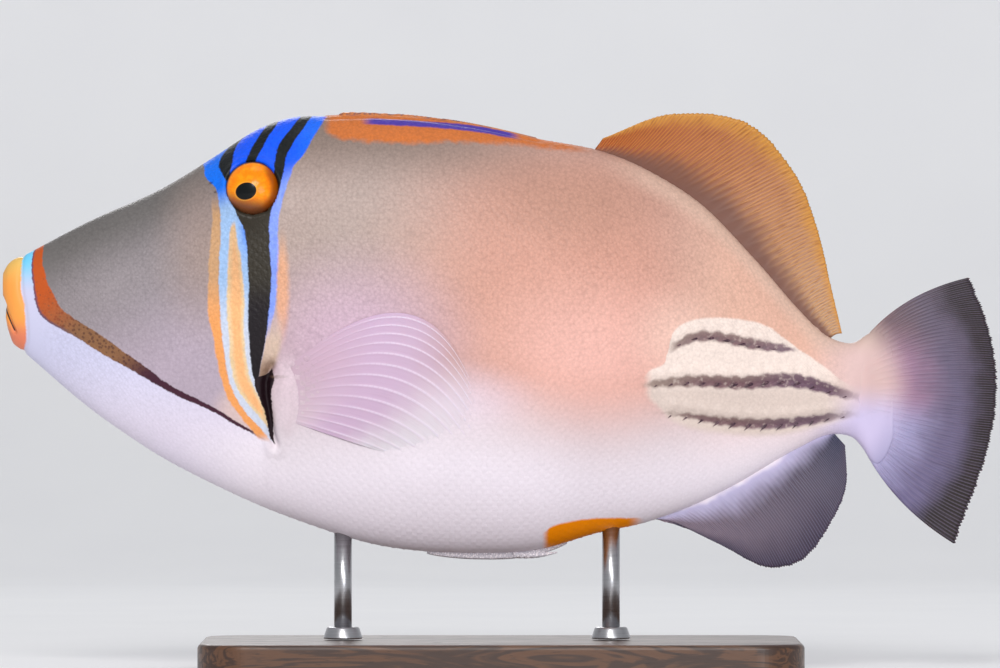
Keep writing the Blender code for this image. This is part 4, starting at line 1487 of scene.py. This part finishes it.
@dataclass(frozen=True)
class SkinCover:
    """The one skin of the head, body, tail stalk and lips, with the scales that lie on it."""

    form: BodyForm
    finish: Material
    columns: int = 300
    rows: int = 318
    cap: float = 0.012
    end: float = 222.5
    scales_round: int = 92
    scales_start: float = 13.0
    scales_end: float = 211.0
    rise: float = 0.11
    sink: float = 0.07
    least_reach: float = 0.55
    tight: float = 0.95
    patch: float = 0.0015

    def bare(self, back: Array, side: Array, up: Array) -> Array:
        """How bare of scales the skin is, from 0 to 1.

        Args:
            back: Distances back from the nose.
            side: Distances across.
            up: Heights.

        Returns:
            How bare each place is.
        """
        marks = self.form.marks
        eye = fade(np.hypot(back - marks.eye[0], up - marks.eye[1]), 10.2, 9.4)
        gill = fade(distance_to(marks.gill, back, up), 3.2, 2.4)
        lobe = fade(np.hypot((back - 71) / 4, (up - 67) / 9.4), 1.05, 0.95)
        holes = [fade(np.hypot(back - b, up - u), 2.0, 1.5) for b, u in marks.nostrils]
        groove = (fade(np.abs(side), 4.2, 3.6) * fade(back, 77.5, 79) * fade(back, 138, 136) * (up > 100))
        ends = np.maximum(fade(back, 14.5, 12.5), fade(back, 209, 212))
        return np.max([eye, gill, lobe, *holes, groove, ends], axis=0)

    def make_skin(self) -> Piece:
        """Makes the skin as one closed surface from the lips to the root of the tail fin.

        Returns:
            The skin.
        """
        back_at = spread_by(self.back_density, 0.05, self.end)
        turn_at = spread_by(self.turn_density, 0.0, math.tau)

        def place(u: Array, v: Array) -> Array:
            """The skin's places, drawn together over its two ends.

            Args:
                u: Shares round it.
                v: Shares along it.

            Returns:
                The places.
            """
            inner = np.clip((v - self.cap) / (1 - 2 * self.cap), 0, 1)
            grown = self.form.skin(back_at(inner), turn_at(u))
            ends = ((v / self.cap, 0.05), ((1 - v) / self.cap, self.end))
            for share, back in ends:
                share = np.clip(share, 0, 1)
                middle = (float(self.form.back(back)) + float(self.form.belly(back))) / 2
                closing = np.sin(share * math.pi / 2)[..., None]
                centre = np.array([back, 0.0, middle])
                grown = centre + (grown - centre) * closing
            return grown

        skin = mapped_grid("body_skin", self.columns, self.rows, place)
        return placed(skin, self.finish, "skin", "head", "torso", "tail_stalk", "lip_upper", "lip_lower")

    def back_density(self, back: Array) -> Array:
        """How closely the skin's rings lie: closest at the mouth and round the eye.

        Args:
            back: Distances back from the nose.

        Returns:
            The density of the rings.
        """
        close = 1.9 * bell(back, 9, 4) + 1.35 * bell(back - 65, 10, 4)
        tail = 0.45 * fade(back, 155, 163)
        return 0.95 + close + tail

    def turn_density(self, turn: Array) -> Array:
        """How closely the skin's lengthwise lines lie: closest at the height of the eyes."""
        folded = np.minimum(turn, math.tau - turn)
        return 1 + 1.2 * bell(folded - 0.74, 0.17, 4) + 0.3 * bell(folded - 1.6, 0.6, 4)

    def make_scales(self) -> Piece:
        """Makes the scales: low domes, each a diamond, in rows that cross the body aslant.

        Returns:
            The scales.
        """
        girths = Girths(self.form, self.end)
        half_steps, place = [], self.scales_start
        while place < self.scales_end:
            half_steps.append(place)
            place += float(self.reach_at(girths, place))
        rows, number = np.meshgrid(np.arange(len(half_steps)), np.arange(self.scales_round), indexing="ij")
        back = np.array(half_steps)[rows].ravel()
        share = ((number + 0.5 * (rows % 2)) / self.scales_round).ravel()
        spots = self.form.plain(back, girths.turns_at(back, share))
        keep = self.bare(spots[..., 0], spots[..., 1], spots[..., 2]) < 0.4
        back, share = back[keep], share[keep]
        reach = self.reach_at(girths, back)
        shape = bmesh.new()
        bmesh.ops.create_grid(shape, x_segments=2, y_segments=2, size=1.0)
        mesh = copies(shape, "body_scales", len(back))
        local = points_of(mesh).reshape(len(back), -1, 3)
        along, across = (local[..., 0] - local[..., 1]) / 2, (local[..., 0] + local[..., 1]) / 2
        backs = back[:, None] + along * reach[:, None] * self.tight
        shares = (share[:, None] + across * self.tight * 0.5 / self.scales_round) % 1
        angles = girths.turns_at(backs, shares)
        middle = np.clip(1 - np.hypot(along, across), 0, 1)
        height = np.where(middle > 0.9, self.rise, np.where(middle > 0.2, self.rise * 0.25, -self.sink))
        size = np.clip(reach / 1.3, 0.6, 1.0)
        places = self.form.skin(backs, angles, height * size[:, None])
        mesh.vertices.foreach_set("co", to_world(places).ravel())
        self.unwrap(mesh, back, share, local)
        mesh.shade_smooth()
        return placed(shown("body_scales", mesh), self.finish, "skin")

    def reach_at(self, girths: Girths, back: Array) -> Array:
        """Half a scale's length at distances back from the nose."""
        return np.maximum(self.least_reach, 0.5 * girths.at(back) / self.scales_round)

    def unwrap(self, mesh: bpy.types.Mesh, back: Array, share: Array, local: Array) -> None:
        """Gives each scale a small patch of its own at its place on the unwrapped skin.

        Args:
            mesh: The mesh of all scales.
            back: The scales' distances back.
            share: Their shares of the girth.
            local: Each point's place on its own scale.
        """
        centre = stacked(back / BACK_SPAN, 0.01 + 0.98 * share)[:, None, :]
        spots = (centre + local[..., :2] * self.patch).reshape(-1, 2)
        corners = np.empty(len(mesh.loops), np.int32)
        mesh.loops.foreach_get("vertex_index", corners)
        layer = mesh.uv_layers.new(name="OFBake")
        layer.uv.foreach_set("vector", spots[corners].ravel())


HORN_SIDES = 8
HORN_CUTS = (-0.3, -0.1, 0.1, 0.25, 0.38)


def horn(length: float, radius: float, lean: float, squash: float) -> Shape:
    """A small curved horn that stands on the origin and bends towards -X.

    Args:
        length: How long it is.
        radius: Its radius at the foot.
        lean: How far its tip lies over.
        squash: How wide it is across, as a share of its width along.

    Returns:
        The mesh, in the units of its sizes.
    """
    made = bmesh.new()
    bmesh.ops.create_cone(made, cap_ends=True, segments=HORN_SIDES, radius1=1.0, radius2=1.0, depth=1.0)
    for cut in HORN_CUTS:
        whole = made.verts[:] + made.edges[:] + made.faces[:]
        bmesh.ops.bisect_plane(made, geom=whole, plane_co=(0, 0, cut), plane_no=(0, 0, 1))
    for vert in made.verts:
        share = vert.co.z + 0.5
        size = radius * max(0.08, (1 - share) ** 0.8)
        vert.co = Vector((vert.co.x * size - lean * share**2, vert.co.y * size * squash, length * share))
    return made


@dataclass(frozen=True)
class TailThorns:
    """The three rows of small hooked thorns on each side of the tail stalk."""

    form: BodyForm
    finish: Material
    height: float = 1.15
    radius: float = 0.9
    lean: float = 2.1
    squash: float = 0.6
    turned: float = math.radians(-28)

    def make(self) -> Piece:
        """Makes every thorn, each leaning towards the head, as one piece.

        Returns:
            The thorns.
        """
        made = []
        for row in self.form.marks.rows:
            line = smooth_line(row)
            start, end = row[0][0] + 4, row[-1][0] - 2.5
            count = int((end - start) / self.form.marks.spacing) + 1
            for i in range(count):
                back = start + i * self.form.marks.spacing
                swell = 0.55 + 0.45 * math.sin(math.pi * (i + 0.6) / count)
                up = float(line(back)) - 0.45
                for side in Side:
                    thorn = horn(self.height * swell, self.radius * swell, self.lean * swell, self.squash)
                    turn = Matrix.Rotation(self.turned * side.value, 4, "Z")
                    spot = self.form.frame_at(back, up, side.value, -0.35)
                    bmesh.ops.transform(thorn, matrix=self.world(spot @ turn), verts=thorn.verts)
                    made.append(thorn)
        return placed(joined("tail_thorns", made), self.finish, "skin")

    @staticmethod
    def world(spot: Matrix) -> Matrix:
        """A frame of the side view, in millimetres, as one of the scene."""
        return Matrix.Scale(MM, 4) @ Matrix.Translation((-LENGTH / 2, 0, 0)) @ spot


@dataclass(frozen=True)
class GillScutes:
    """The bony plates behind each gill slit."""

    form: BodyForm
    finish: Material
    plates: Points = (
        (73.9, 80.2, 1.5), (74.2, 83.6, 1.75), (75.3, 87.2, 1.5), (77.4, 81.8, 1.5), (78, 85.3, 1.65),
        (72.4, 77.2, 1.2), (76.4, 78.4, 1.2), (79.2, 88.6, 1.25), (72.9, 90.4, 1.15), (80.9, 83.2, 1.15),
    )

    def make(self) -> Piece:
        """Makes the plates as low oval bosses set into the skin.

        Returns:
            The plates.
        """
        made = []
        for back, up, size in self.plates:
            for side in Side:
                plate = bmesh.new()
                bmesh.ops.create_uvsphere(plate, u_segments=20, v_segments=12, radius=1.0)
                shape = Matrix.Diagonal((size, size * 0.78, 0.3, 1))
                bmesh.ops.transform(plate, matrix=shape, verts=plate.verts)
                spot = self.form.frame_at(back, up, side.value, -0.12)
                bmesh.ops.transform(plate, matrix=TailThorns.world(spot), verts=plate.verts)
                made.append(plate)
        return placed(joined("gill_scutes", made), self.finish, "skin")


@dataclass(frozen=True)
class Eyes:
    """The two eyes, each a flattened ball turned a little forwards and up."""

    finish: Material
    radius: float = 7.0
    depth: float = 5.0
    forward: float = math.radians(10)
    upward: float = math.radians(12)

    def make(self) -> None:
        """Makes both eyes, with a faint bulge where the clear front lies over the pupil."""
        for side in Side:
            name = f"eye_{side.name.lower()}"
            low, high = (Vector(corner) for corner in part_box(name))
            ball = bmesh.new()
            bmesh.ops.create_uvsphere(ball, u_segments=56, v_segments=40, radius=1.0)
            for vert in ball.verts:
                vert.co.z *= 1 + 0.03 * max(0.0, abs(vert.co.z) - 0.8)
            turn = Matrix.Rotation(side.value * self.forward, 4, "Z")
            turn = turn @ Matrix.Rotation(side.value * self.upward, 4, "X")
            size = Matrix.Diagonal((self.radius * MM, self.depth * MM, self.radius * MM, 1))
            lay = Matrix.Translation((low + high) / 2) @ turn @ size @ Matrix.Rotation(math.pi / 2, 4, "X")
            bmesh.ops.transform(ball, matrix=lay, verts=ball.verts)
            placed(finish_mesh(ball, f"{name}_ball"), self.finish, "eyes", name)


@dataclass(frozen=True)
class FoldedFin:
    """The first dorsal fin, folded back into its groove with its three spines."""

    form: BodyForm
    finish: Material
    spine_finish: Material
    start: float = 80.0
    end: float = 134.0
    half_width: float = 2.6
    deep: float = 3.0
    rise: float = 0.25
    spines: Points = ((83.5, 117, 1.15), (97, 123, 0.85), (109, 129, 0.6))

    def make(self) -> None:
        """Makes the folded membrane and the spines that lie on it."""
        membrane = mapped_grid("first_dorsal_folded", 48, 150, self.place)
        placed(membrane, self.finish, "folded_fin", "dorsal_fin_first")
        for number, (start, end, radius) in enumerate(self.spines):

            def along(u: Array, v: Array) -> Array:
                """The places of one spine, round at its foot and pointed at its end.

                Args:
                    u: Shares round it.
                    v: Shares along it.

                Returns:
                    The places.
                """
                back = start + (end - start) * v
                size = radius * rounded(v, 0.05) * (1 - 0.9 * v**1.6) * (v < POINTED)
                rough = 1 + 0.07 * np.sin(back * 9) * np.cos(6 * math.pi * u)
                turn = math.tau * u
                top = self.form.back(back) + self.rise - 0.55 * radius
                return stacked(back, size * rough * np.sin(turn), top + size * rough * np.cos(turn))

            piece = mapped_grid(f"first_dorsal_spine_{number + 1}", 20, 60, along)
            placed(piece, self.spine_finish, "folded_fin")

    def place(self, u: Array, v: Array) -> Array:
        """The places of the folded membrane, pleated lengthwise.

        Args:
            u: Shares round it.
            v: Shares along it.

        Returns:
            The places.
        """
        back = self.start + (self.end - self.start) * v
        swell = np.sin(math.pi * np.clip(v, 1e-6, 1 - 1e-6)) ** 0.5
        turn = math.tau * u
        ends = rounded(np.minimum(v, 1 - v), 0.012)
        half = self.half_width * (0.45 + 0.55 * swell) * ends
        top = self.form.back(back) + self.rise * swell
        deep = self.deep * (0.6 + 0.4 * swell)
        across = -half * np.sin(turn)
        pleat = 0.12 * np.cos(across * 5.2 + 0.25 * np.sin(back / 2.1)) * np.clip(np.cos(turn), 0, 1) * swell
        up = top - deep / 2 + deep / 2 * np.cos(turn) * ends + pleat
        return stacked(back, across, up)


SCATTER_STEP = 12.9898
SCATTER_SPREAD = 43758.5453


@dataclass(frozen=True)
class Fin:
    """A fin as one thin closed sheet with branched rays raised on both faces."""

    name: str
    nodes: tuple[str, ...]
    root: Points
    knee: Points
    tip: Points
    rays: int
    columns: int
    rows: int
    thickness: Placing
    slot: str
    kind: FinKind
    branches: int = 4
    mirror: int = 1
    off: Callable[[Array, Array, Array], Array] | None = None
    ray_rise: float = 0.2
    scallop: float = 0.02

    def line(self, points: Points, share: Array) -> Array:
        """The places of one of the fin's three lines at shares from the first ray to the last.

        Args:
            points: The line's points.
            share: Shares along the fin.

        Returns:
            The places.
        """
        full = np.array([(*point, 0)[:3] for point in points], float)
        steps = np.linspace(0, 1, len(full))
        return stacked(*(smooth_line(list(zip(steps, column)))(share) for column in full.T))

    def crest(self, share: Array, out: Array) -> Array:
        """How high a ray stands: one ridge at the root that splits into its branches farther out.

        Args:
            share: Shares along the fin.
            out: Shares out from its root.

        Returns:
            The height, from 0 to 1.
        """
        phase = (share * self.rays) % 1 - 0.5
        splits = [0.25 * fade(out, 0.0, 0.25), 0.125 * fade(out, 0.15, 0.5), 0.0625 * fade(out, 0.4, 0.8)]
        splits = splits[: int(math.log2(self.branches))]
        width = 0.16 - (0.16 - min(0.16, 0.36 / self.branches)) * fade(out, 0.05, 0.4)
        ridge = np.zeros(np.broadcast(share, out).shape)
        for signs in range(2 ** len(splits)):
            middle = sum(step * (1 if signs >> i & 1 else -1) for i, step in enumerate(splits))
            ridge = np.maximum(ridge, bell(phase - middle, width))
        return ridge

    def tip_length(self, share: Array) -> Array:
        """How far out the edge reaches: a little farther at each branch of a ray, no two quite alike.

        Args:
            share: Shares along the fin.

        Returns:
            The reach, 1 at most.
        """
        number = np.floor(share * self.rays * self.branches)
        chance = (np.sin(number * SCATTER_STEP + self.rays) * SCATTER_SPREAD) % 1
        gap = 1 - self.crest(share, np.ones_like(share))
        return 1 - self.scallop * (0.7 * gap + 0.6 * chance)

    def place(self, u: Array, v: Array) -> Array:
        """The sheet's places: one face for the lower half of v and the other for the rest.

        Args:
            u: Shares along the fin.
            v: Shares out on one face and back on the other.

        Returns:
            The places.
        """
        out = 1 - np.abs(2 * v - 1)
        flat, normal = self.sheet(u, out)
        edge = rounded(np.minimum(u, 1 - u), 0.008) * rounded(1 - out, 0.012)
        ridge = self.crest(u, out) * fade(out, 0.02, 0.25)
        half = (self.thickness(u, out) / 2 + self.ray_rise * (1 - 0.5 * out) * ridge) * edge
        return flat + normal * (half * np.sign(0.5 - v))[..., None]

    def sheet(self, share: Array, out: Array) -> tuple[Array, Array]:
        """The middle of the sheet and its normal.

        Args:
            share: Shares along the fin.
            out: Shares out from its root.

        Returns:
            The places and their normals.
        """
        step = 0.002

        def at(share: Array, out: Array) -> Array:
            """The middle of the sheet at shares along and out.

            Args:
                share: Shares along the fin.
                out: Shares out from its root.

            Returns:
                The places.
            """
            reach = (out * (1 - (1 - self.tip_length(share)) * fade(out, 0.75, 1)))[..., None]
            root, knee, tip = (self.line(points, share) for points in (self.root, self.knee, self.tip))
            spot = root * (1 - reach) ** 2 + 2 * knee * reach * (1 - reach) + tip * reach**2
            if self.off is not None:
                spot[..., 2] += self.off(spot[..., 0], spot[..., 1], reach[..., 0])
            return stacked(spot[..., 0], spot[..., 2] * self.mirror, spot[..., 1])

        middle = at(share, out)
        along = at(np.minimum(share + step, 1), out) - at(np.maximum(share - step, 0), out)
        outward = at(share, np.minimum(out + step, 1)) - at(share, np.maximum(out - step, 0))
        normal = np.cross(along, outward)
        normal /= np.maximum(np.linalg.norm(normal, axis=-1, keepdims=True), TINY)
        return middle, normal

    def marks(self, u: Array, v: Array) -> Array:
        """The share along the fin, the share out and the ray's crest, for the paint."""
        out = 1 - np.abs(2 * v - 1)
        return stacked(u, out, self.crest(u, out))

    def make(self, finish: Material) -> Piece:
        """Makes the fin and dresses it."""
        piece = mapped_grid(self.name, self.columns, self.rows, self.place, self.marks)
        return placed(piece, finish, self.slot, *self.nodes)


def thin(root: float, fall: float, edge: float = 0.52) -> Placing:
    """A membrane that thins from its root to its edge."""
    return lambda share, out: edge + (root - edge) * (1 - out) ** fall


def all_fins(form: BodyForm) -> tuple[Fin, ...]:
    """The second dorsal, anal, tail and pectoral fins.

    Args:
        form: The body that carries them.

    Returns:
        The fins, not made yet.
    """

    def fan(share: Array, out: Array) -> Array:
        """The tail fin's thickness, as full as the end of the tail stalk at its root."""
        full = np.sqrt(np.clip(1 - (2 * share - 1) ** 2, 0, 1))
        return 0.52 + full * (0.92 * 2 * float(form.half(213.0)) - 0.52) * np.exp(-((out / 0.17) ** 2))

    def beside(back: Array, up: Array, out: Array) -> Array:
        """How far off the middle plane the pectoral fins' points are carried."""
        gap = 0.36 * fade(out, 0.05, 0.35) - 0.54 * fade(out, 0.68, 1)
        return 0.6 * (1 - out) ** 4 - form.flank(back, up) - gap

    dorsal = Fin(
        "second_dorsal", ("dorsal_fin_second",),
        ((147, 129.5), (155, 127), (165, 121.5), (176, 114), (187, 102.5), (197, 91), (206.5, 83)),
        ((149, 132), (162, 132, -0.6), (177, 130.5, -1), (190, 121, 0.8), (197, 108.5, 1.6), (203, 95.5, 0.6),
         (208, 84.8)),
        ((150, 133.5), (167, 139.6, -1.6), (186, 137.4, -2), (198, 125, 1.6), (203.8, 111, 3.2), (207, 97, 1),
         (209.8, 84.6)),
        25, 400, 88, thin(1.4, 2), "dorsal_membrane", FinKind.DORSAL, ray_rise=0.12,
    )
    anal = Fin(
        "anal_membrane", ("anal_fin",),
        ((161, 38.4), (168, 40.8), (176, 44), (185, 48.8), (194, 54.4), (201, 58.6), (206.8, 60.8)),
        ((166, 37.9), (176, 36, 0.5), (186, 36.4, 0.8), (194, 40.5), (201, 47.5, -1.2), (206, 53.4, -1),
         (208.6, 58.8)),
        ((168, 37.4), (180, 31.4, 1.4), (191, 26, 2), (200.5, 28.2), (207.2, 37.6, -2.8), (210.8, 46.2, -2.2),
         (210.6, 56.6)),
        23, 368, 72, thin(1.2, 2), "fin_membrane", FinKind.ANAL, ray_rise=0.08,
    )
    caudal = Fin(
        "tail_fan", ("caudal_fin",),
        ((213.3, 80.6), (213.3, 75.5), (213.3, 70), (213.3, 64.8), (213.3, 59.8)),
        ((223, 94.6, 0.6), (230, 86, 0.8), (231, 70.4, 0.8), (228.6, 56, 0.8), (220.6, 42.4, 0.6)),
        ((242.2, 98.8, 3), (247.4, 84.4, 4.6), (249, 69.4, 5), (246, 53, 4.4), (238.2, 31.8, 2.6)),
        13, 468, 112, fan, "fin_membrane", FinKind.CAUDAL, 8, ray_rise=0.13,
    )
    pectorals = tuple(
        Fin(
            f"pectoral_{side}", (f"pectoral_fin_{side}",),
            ((70, 75), (70.2, 72.2), (70.4, 69.2), (70.4, 66.2), (70.2, 63.4)),
            ((105, 106), (104, 97), (101, 84), (94.6, 69), (84, 58.6)),
            ((117.4, 72), (118.8, 64.6), (116.6, 57.8), (108.6, 54.4), (95.4, 55)),
            13, 260, 96, thin(1.2, 4, 0.25), "fin_membrane", FinKind.PECTORAL, 1, mirror, beside, 0.12, 0.005,
        )
        for side, mirror in (("left", 1), ("right", -1))
    )
    return dorsal, anal, caudal, *pectorals


@dataclass(frozen=True)
class PelvicFlap:
    """The low keel under the belly and the rough spine that ends it."""

    form: BodyForm
    finish: Material
    start: float = 106.0
    end: float = 141.0
    drop: float = 1.3
    half_width: float = 0.8
    spine: Points = ((127, 29.6), (134, 29.3), (138.6, 29.9))
    spine_radius: float = 1.1

    def place(self, u: Array, v: Array) -> Array:
        """The keel's places, thinner towards its lower edge and finely ribbed.

        Args:
            u: Shares along it.
            v: Shares down one face and up the other.

        Returns:
            The places.
        """
        back = self.start + (self.end - self.start) * u
        out = 1 - np.abs(2 * v - 1)
        drop = self.drop * np.sin(math.pi * np.clip(u, 1e-6, 1 - 1e-6)) ** 0.7 + 0.12
        low = self.form.belly(back) - drop - 0.3
        up = low + (drop + 2.2) * (1 - out)
        ends = rounded(np.minimum(u, 1 - u), 0.02) * rounded(1 - out, 0.05)
        rib = 1 + 0.14 * np.cos(math.tau * (back / 1.15 + 0.4 * out))
        half = self.half_width * (1 - 0.45 * out) * ends * rib
        return stacked(back, half * np.sign(v - 0.5), up)

    def tooth(self, u: Array, v: Array) -> Array:
        """The spine's places, with low grains in rings round it.

        Args:
            u: Shares round it.
            v: Shares along it.

        Returns:
            The places.
        """
        line = smooth_line(self.spine)
        back = self.spine[0][0] + (self.spine[-1][0] - self.spine[0][0]) * v
        size = self.spine_radius * rounded(v, 0.08) * (1 - 0.85 * v**1.5) * (v < POINTED)
        turn = math.tau * u
        size = size * (1 + 0.12 * np.cos(4 * turn + 3 * back) * np.sin(7 * back))
        return stacked(back, size * np.sin(turn), line(back) + size * np.cos(turn))

    def make(self) -> None:
        """Makes the keel and its spine."""
        placed(mapped_grid("belly_flap", 240, 20, self.place), self.finish, "flap", "pelvic_flap")
        placed(mapped_grid("belly_spine", 32, 80, self.tooth), self.finish, "flap")


@dataclass(frozen=True)
class Stand:
    """The display stand: a wooden base with rounded corners and two steel rods."""

    form: BodyForm
    wood: Material
    steel: Material
    length: float = 150.0
    width: float = 84.0
    height: float = 8.0
    corner: float = 12.0
    chamfer: float = 1.2
    rod_radius: float = 2.2
    collar_radius: float = 5.0
    collar_top: float = 4.0
    collar_height: float = 3.0
    rods: Spot = (85.0, 152.0)

    def make(self) -> None:
        """Makes the base and both rods."""
        base = bmesh.new()
        bmesh.ops.create_cube(base, size=1.0)
        size = Matrix.Diagonal((self.length * MM, self.width * MM, self.height * MM, 1))
        size = Matrix.Translation((0, 0, self.height / 2 * MM)) @ size
        bmesh.ops.transform(base, matrix=size, verts=base.verts)
        upright = [e for e in base.edges if abs(e.verts[0].co.z - e.verts[1].co.z) > self.height / 2 * MM]
        eased(base, upright, self.corner, 20)
        top = [e for e in base.edges if all(v.co.z > self.height * 0.99 * MM for v in e.verts)]
        eased(base, top, self.chamfer, 6)
        placed(finish_mesh(base, "stand_plinth", smooth=False), self.wood, "stand_wood", "stand_base")
        for number, back in enumerate(self.rods):
            low, high = self.height + 0.3, float(self.form.belly(back)) + 1.2
            parts = [
                self.turned(back, low, high, self.rod_radius, self.rod_radius, 0.0),
                self.turned(back, low, low + self.collar_height, self.collar_radius, self.collar_top, 0.5),
            ]
            piece = joined(f"stand_post_{number + 1}", parts)
            placed(piece, self.steel, "stand_metal", f"stand_rod_{number + 1}")

    @staticmethod
    def turned(back: float, low: float, high: float, foot: float, head: float, bevel: float) -> Shape:
        """A round bar or collar, with its rims eased where a bevel is given.

        Args:
            back: Its distance back.
            low: The height of its foot.
            high: The height of its top.
            foot: Its radius at the foot.
            head: Its radius at the top.
            bevel: How far its rims are eased.

        Returns:
            The mesh, in metres.
        """
        made = bmesh.new()
        lift = Matrix.Translation(((back - LENGTH / 2) * MM, 0, (low + high) / 2 * MM))
        bmesh.ops.create_cone(
            made, cap_ends=True, segments=64, radius1=foot * MM, radius2=head * MM, depth=(high - low) * MM,
            matrix=lift,
        )
        rims = [e for e in made.edges if abs(e.verts[0].co.z - e.verts[1].co.z) < 1e-6]
        if bevel:
            eased(made, rims, bevel, 4)
        return made


@dataclass(frozen=True)
class Studio:
    """The floor, the soft light and the camera that sees the fish from its left side."""

    floor_reach: float = 18.0
    bend_place: float = 0.9
    bend_radius: float = 0.4
    distance: float = 2.5
    middle: Spot = (-0.00025, 0.0845)
    lens: float = 360.0
    lit_place: tuple[float, float, float] = (0, 0, 0.08)
    room_light: tuple[float, float, float, float] = (0.94, 0.96, 1.0, 1)
    room_strength: float = 0.5
    lights: tuple[tuple[str, tuple[float, float, float], float, float, Colour], ...] = (
        ("key", (-0.2, -2.2, 1.3), 0.8, 27.0, (1.0, 0.98, 0.96)),
        ("fill", (0.45, -1.7, 0.36), 0.66, 7.5, (0.95, 0.97, 1.0)),
        ("rear", (-0.3, 2.2, 1.3), 0.9, 11.0, (1.0, 1.0, 1.0)),
        ("top", (0.0, -0.2, 2.6), 1.2, 6.0, (1.0, 1.0, 1.0)),
    )

    def make_floor(self) -> None:
        """Makes the floor, which curves up behind the fish into a low backdrop."""
        sheet = bmesh.new()
        bmesh.ops.create_grid(sheet, x_segments=2, y_segments=40, size=1.0)
        for vert in sheet.verts:
            turn = math.pi / 2 * max(0.0, vert.co.y)
            back = self.bend_place + self.bend_radius * math.sin(turn)
            back += min(0.0, vert.co.y) * (self.floor_reach + self.bend_place)
            vert.co = Vector((vert.co.x * self.floor_reach, back, self.bend_radius * (1 - math.cos(turn))))
        floor = finish_mesh(sheet, "studio_floor")
        floor.data.materials.append(floor_finish())

    def make_lights(self) -> None:
        """Makes the soft lights and the even light of the room."""
        for name, place, size, power, colour in self.lights:
            light = bpy.data.lights.new(name, "AREA")
            light.shape, light.size, light.energy, light.color = "DISK", size, power, colour
            lamp = shown(name, light)
            lamp.location = place
            lamp.rotation_euler = (Vector(self.lit_place) - Vector(place)).to_track_quat("-Z", "Y").to_euler()
        world = bpy.data.worlds.new("room")
        world.use_nodes = True
        sky = world.node_tree.nodes["Background"].inputs
        sky["Color"].default_value, sky["Strength"].default_value = self.room_light, self.room_strength
        bpy.context.scene.world = world

    def make_camera(self) -> None:
        """Makes the level camera, square on to the fish's left side."""
        lens = bpy.data.cameras.new("camera")
        lens.lens, lens.sensor_width, lens.clip_end = self.lens, 36.0, 50.0
        camera = shown("camera", lens)
        camera.location = (self.middle[0], -self.distance, self.middle[1])
        camera.rotation_euler = (math.pi / 2, 0, 0)
        bpy.context.scene.camera = camera
        bpy.context.scene.view_settings.view_transform = "Standard"


def main() -> None:
    """Builds the studio and the fish, piece by piece."""
    logging.basicConfig(level=logging.INFO, format="%(message)s")
    studio = Studio()
    studio.make_camera()
    studio.make_floor()
    studio.make_lights()
    form = BodyForm()
    colours = SkinColours()
    skin = SkinPaint(form, colours).finish()
    cover = SkinCover(form, skin)
    cover.make_skin()
    cover.make_scales()
    TailThorns(form, horn_finish("thorn_horn", tone(62, 34, 50), tone(104, 74, 84))).make()
    GillScutes(form, skin).make()
    Eyes(eye_finish(EyeColours(), form.marks)).make()
    FoldedFin(form, folded_finish(), horn_finish("spine_horn", tone(196, 112, 44), tone(120, 74, 70))).make()
    finishes = {}
    for kind in FinKind:
        finishes[kind] = FinPaint(form, colours, f"{kind.name.lower()}_paint", kind.value).finish()
    for fin in all_fins(form):
        fin.make(finishes[fin.kind])
    PelvicFlap(form, flap_finish()).make()
    Stand(form, wood_finish(), steel_finish()).make()


if __name__ == "__main__":
    main()
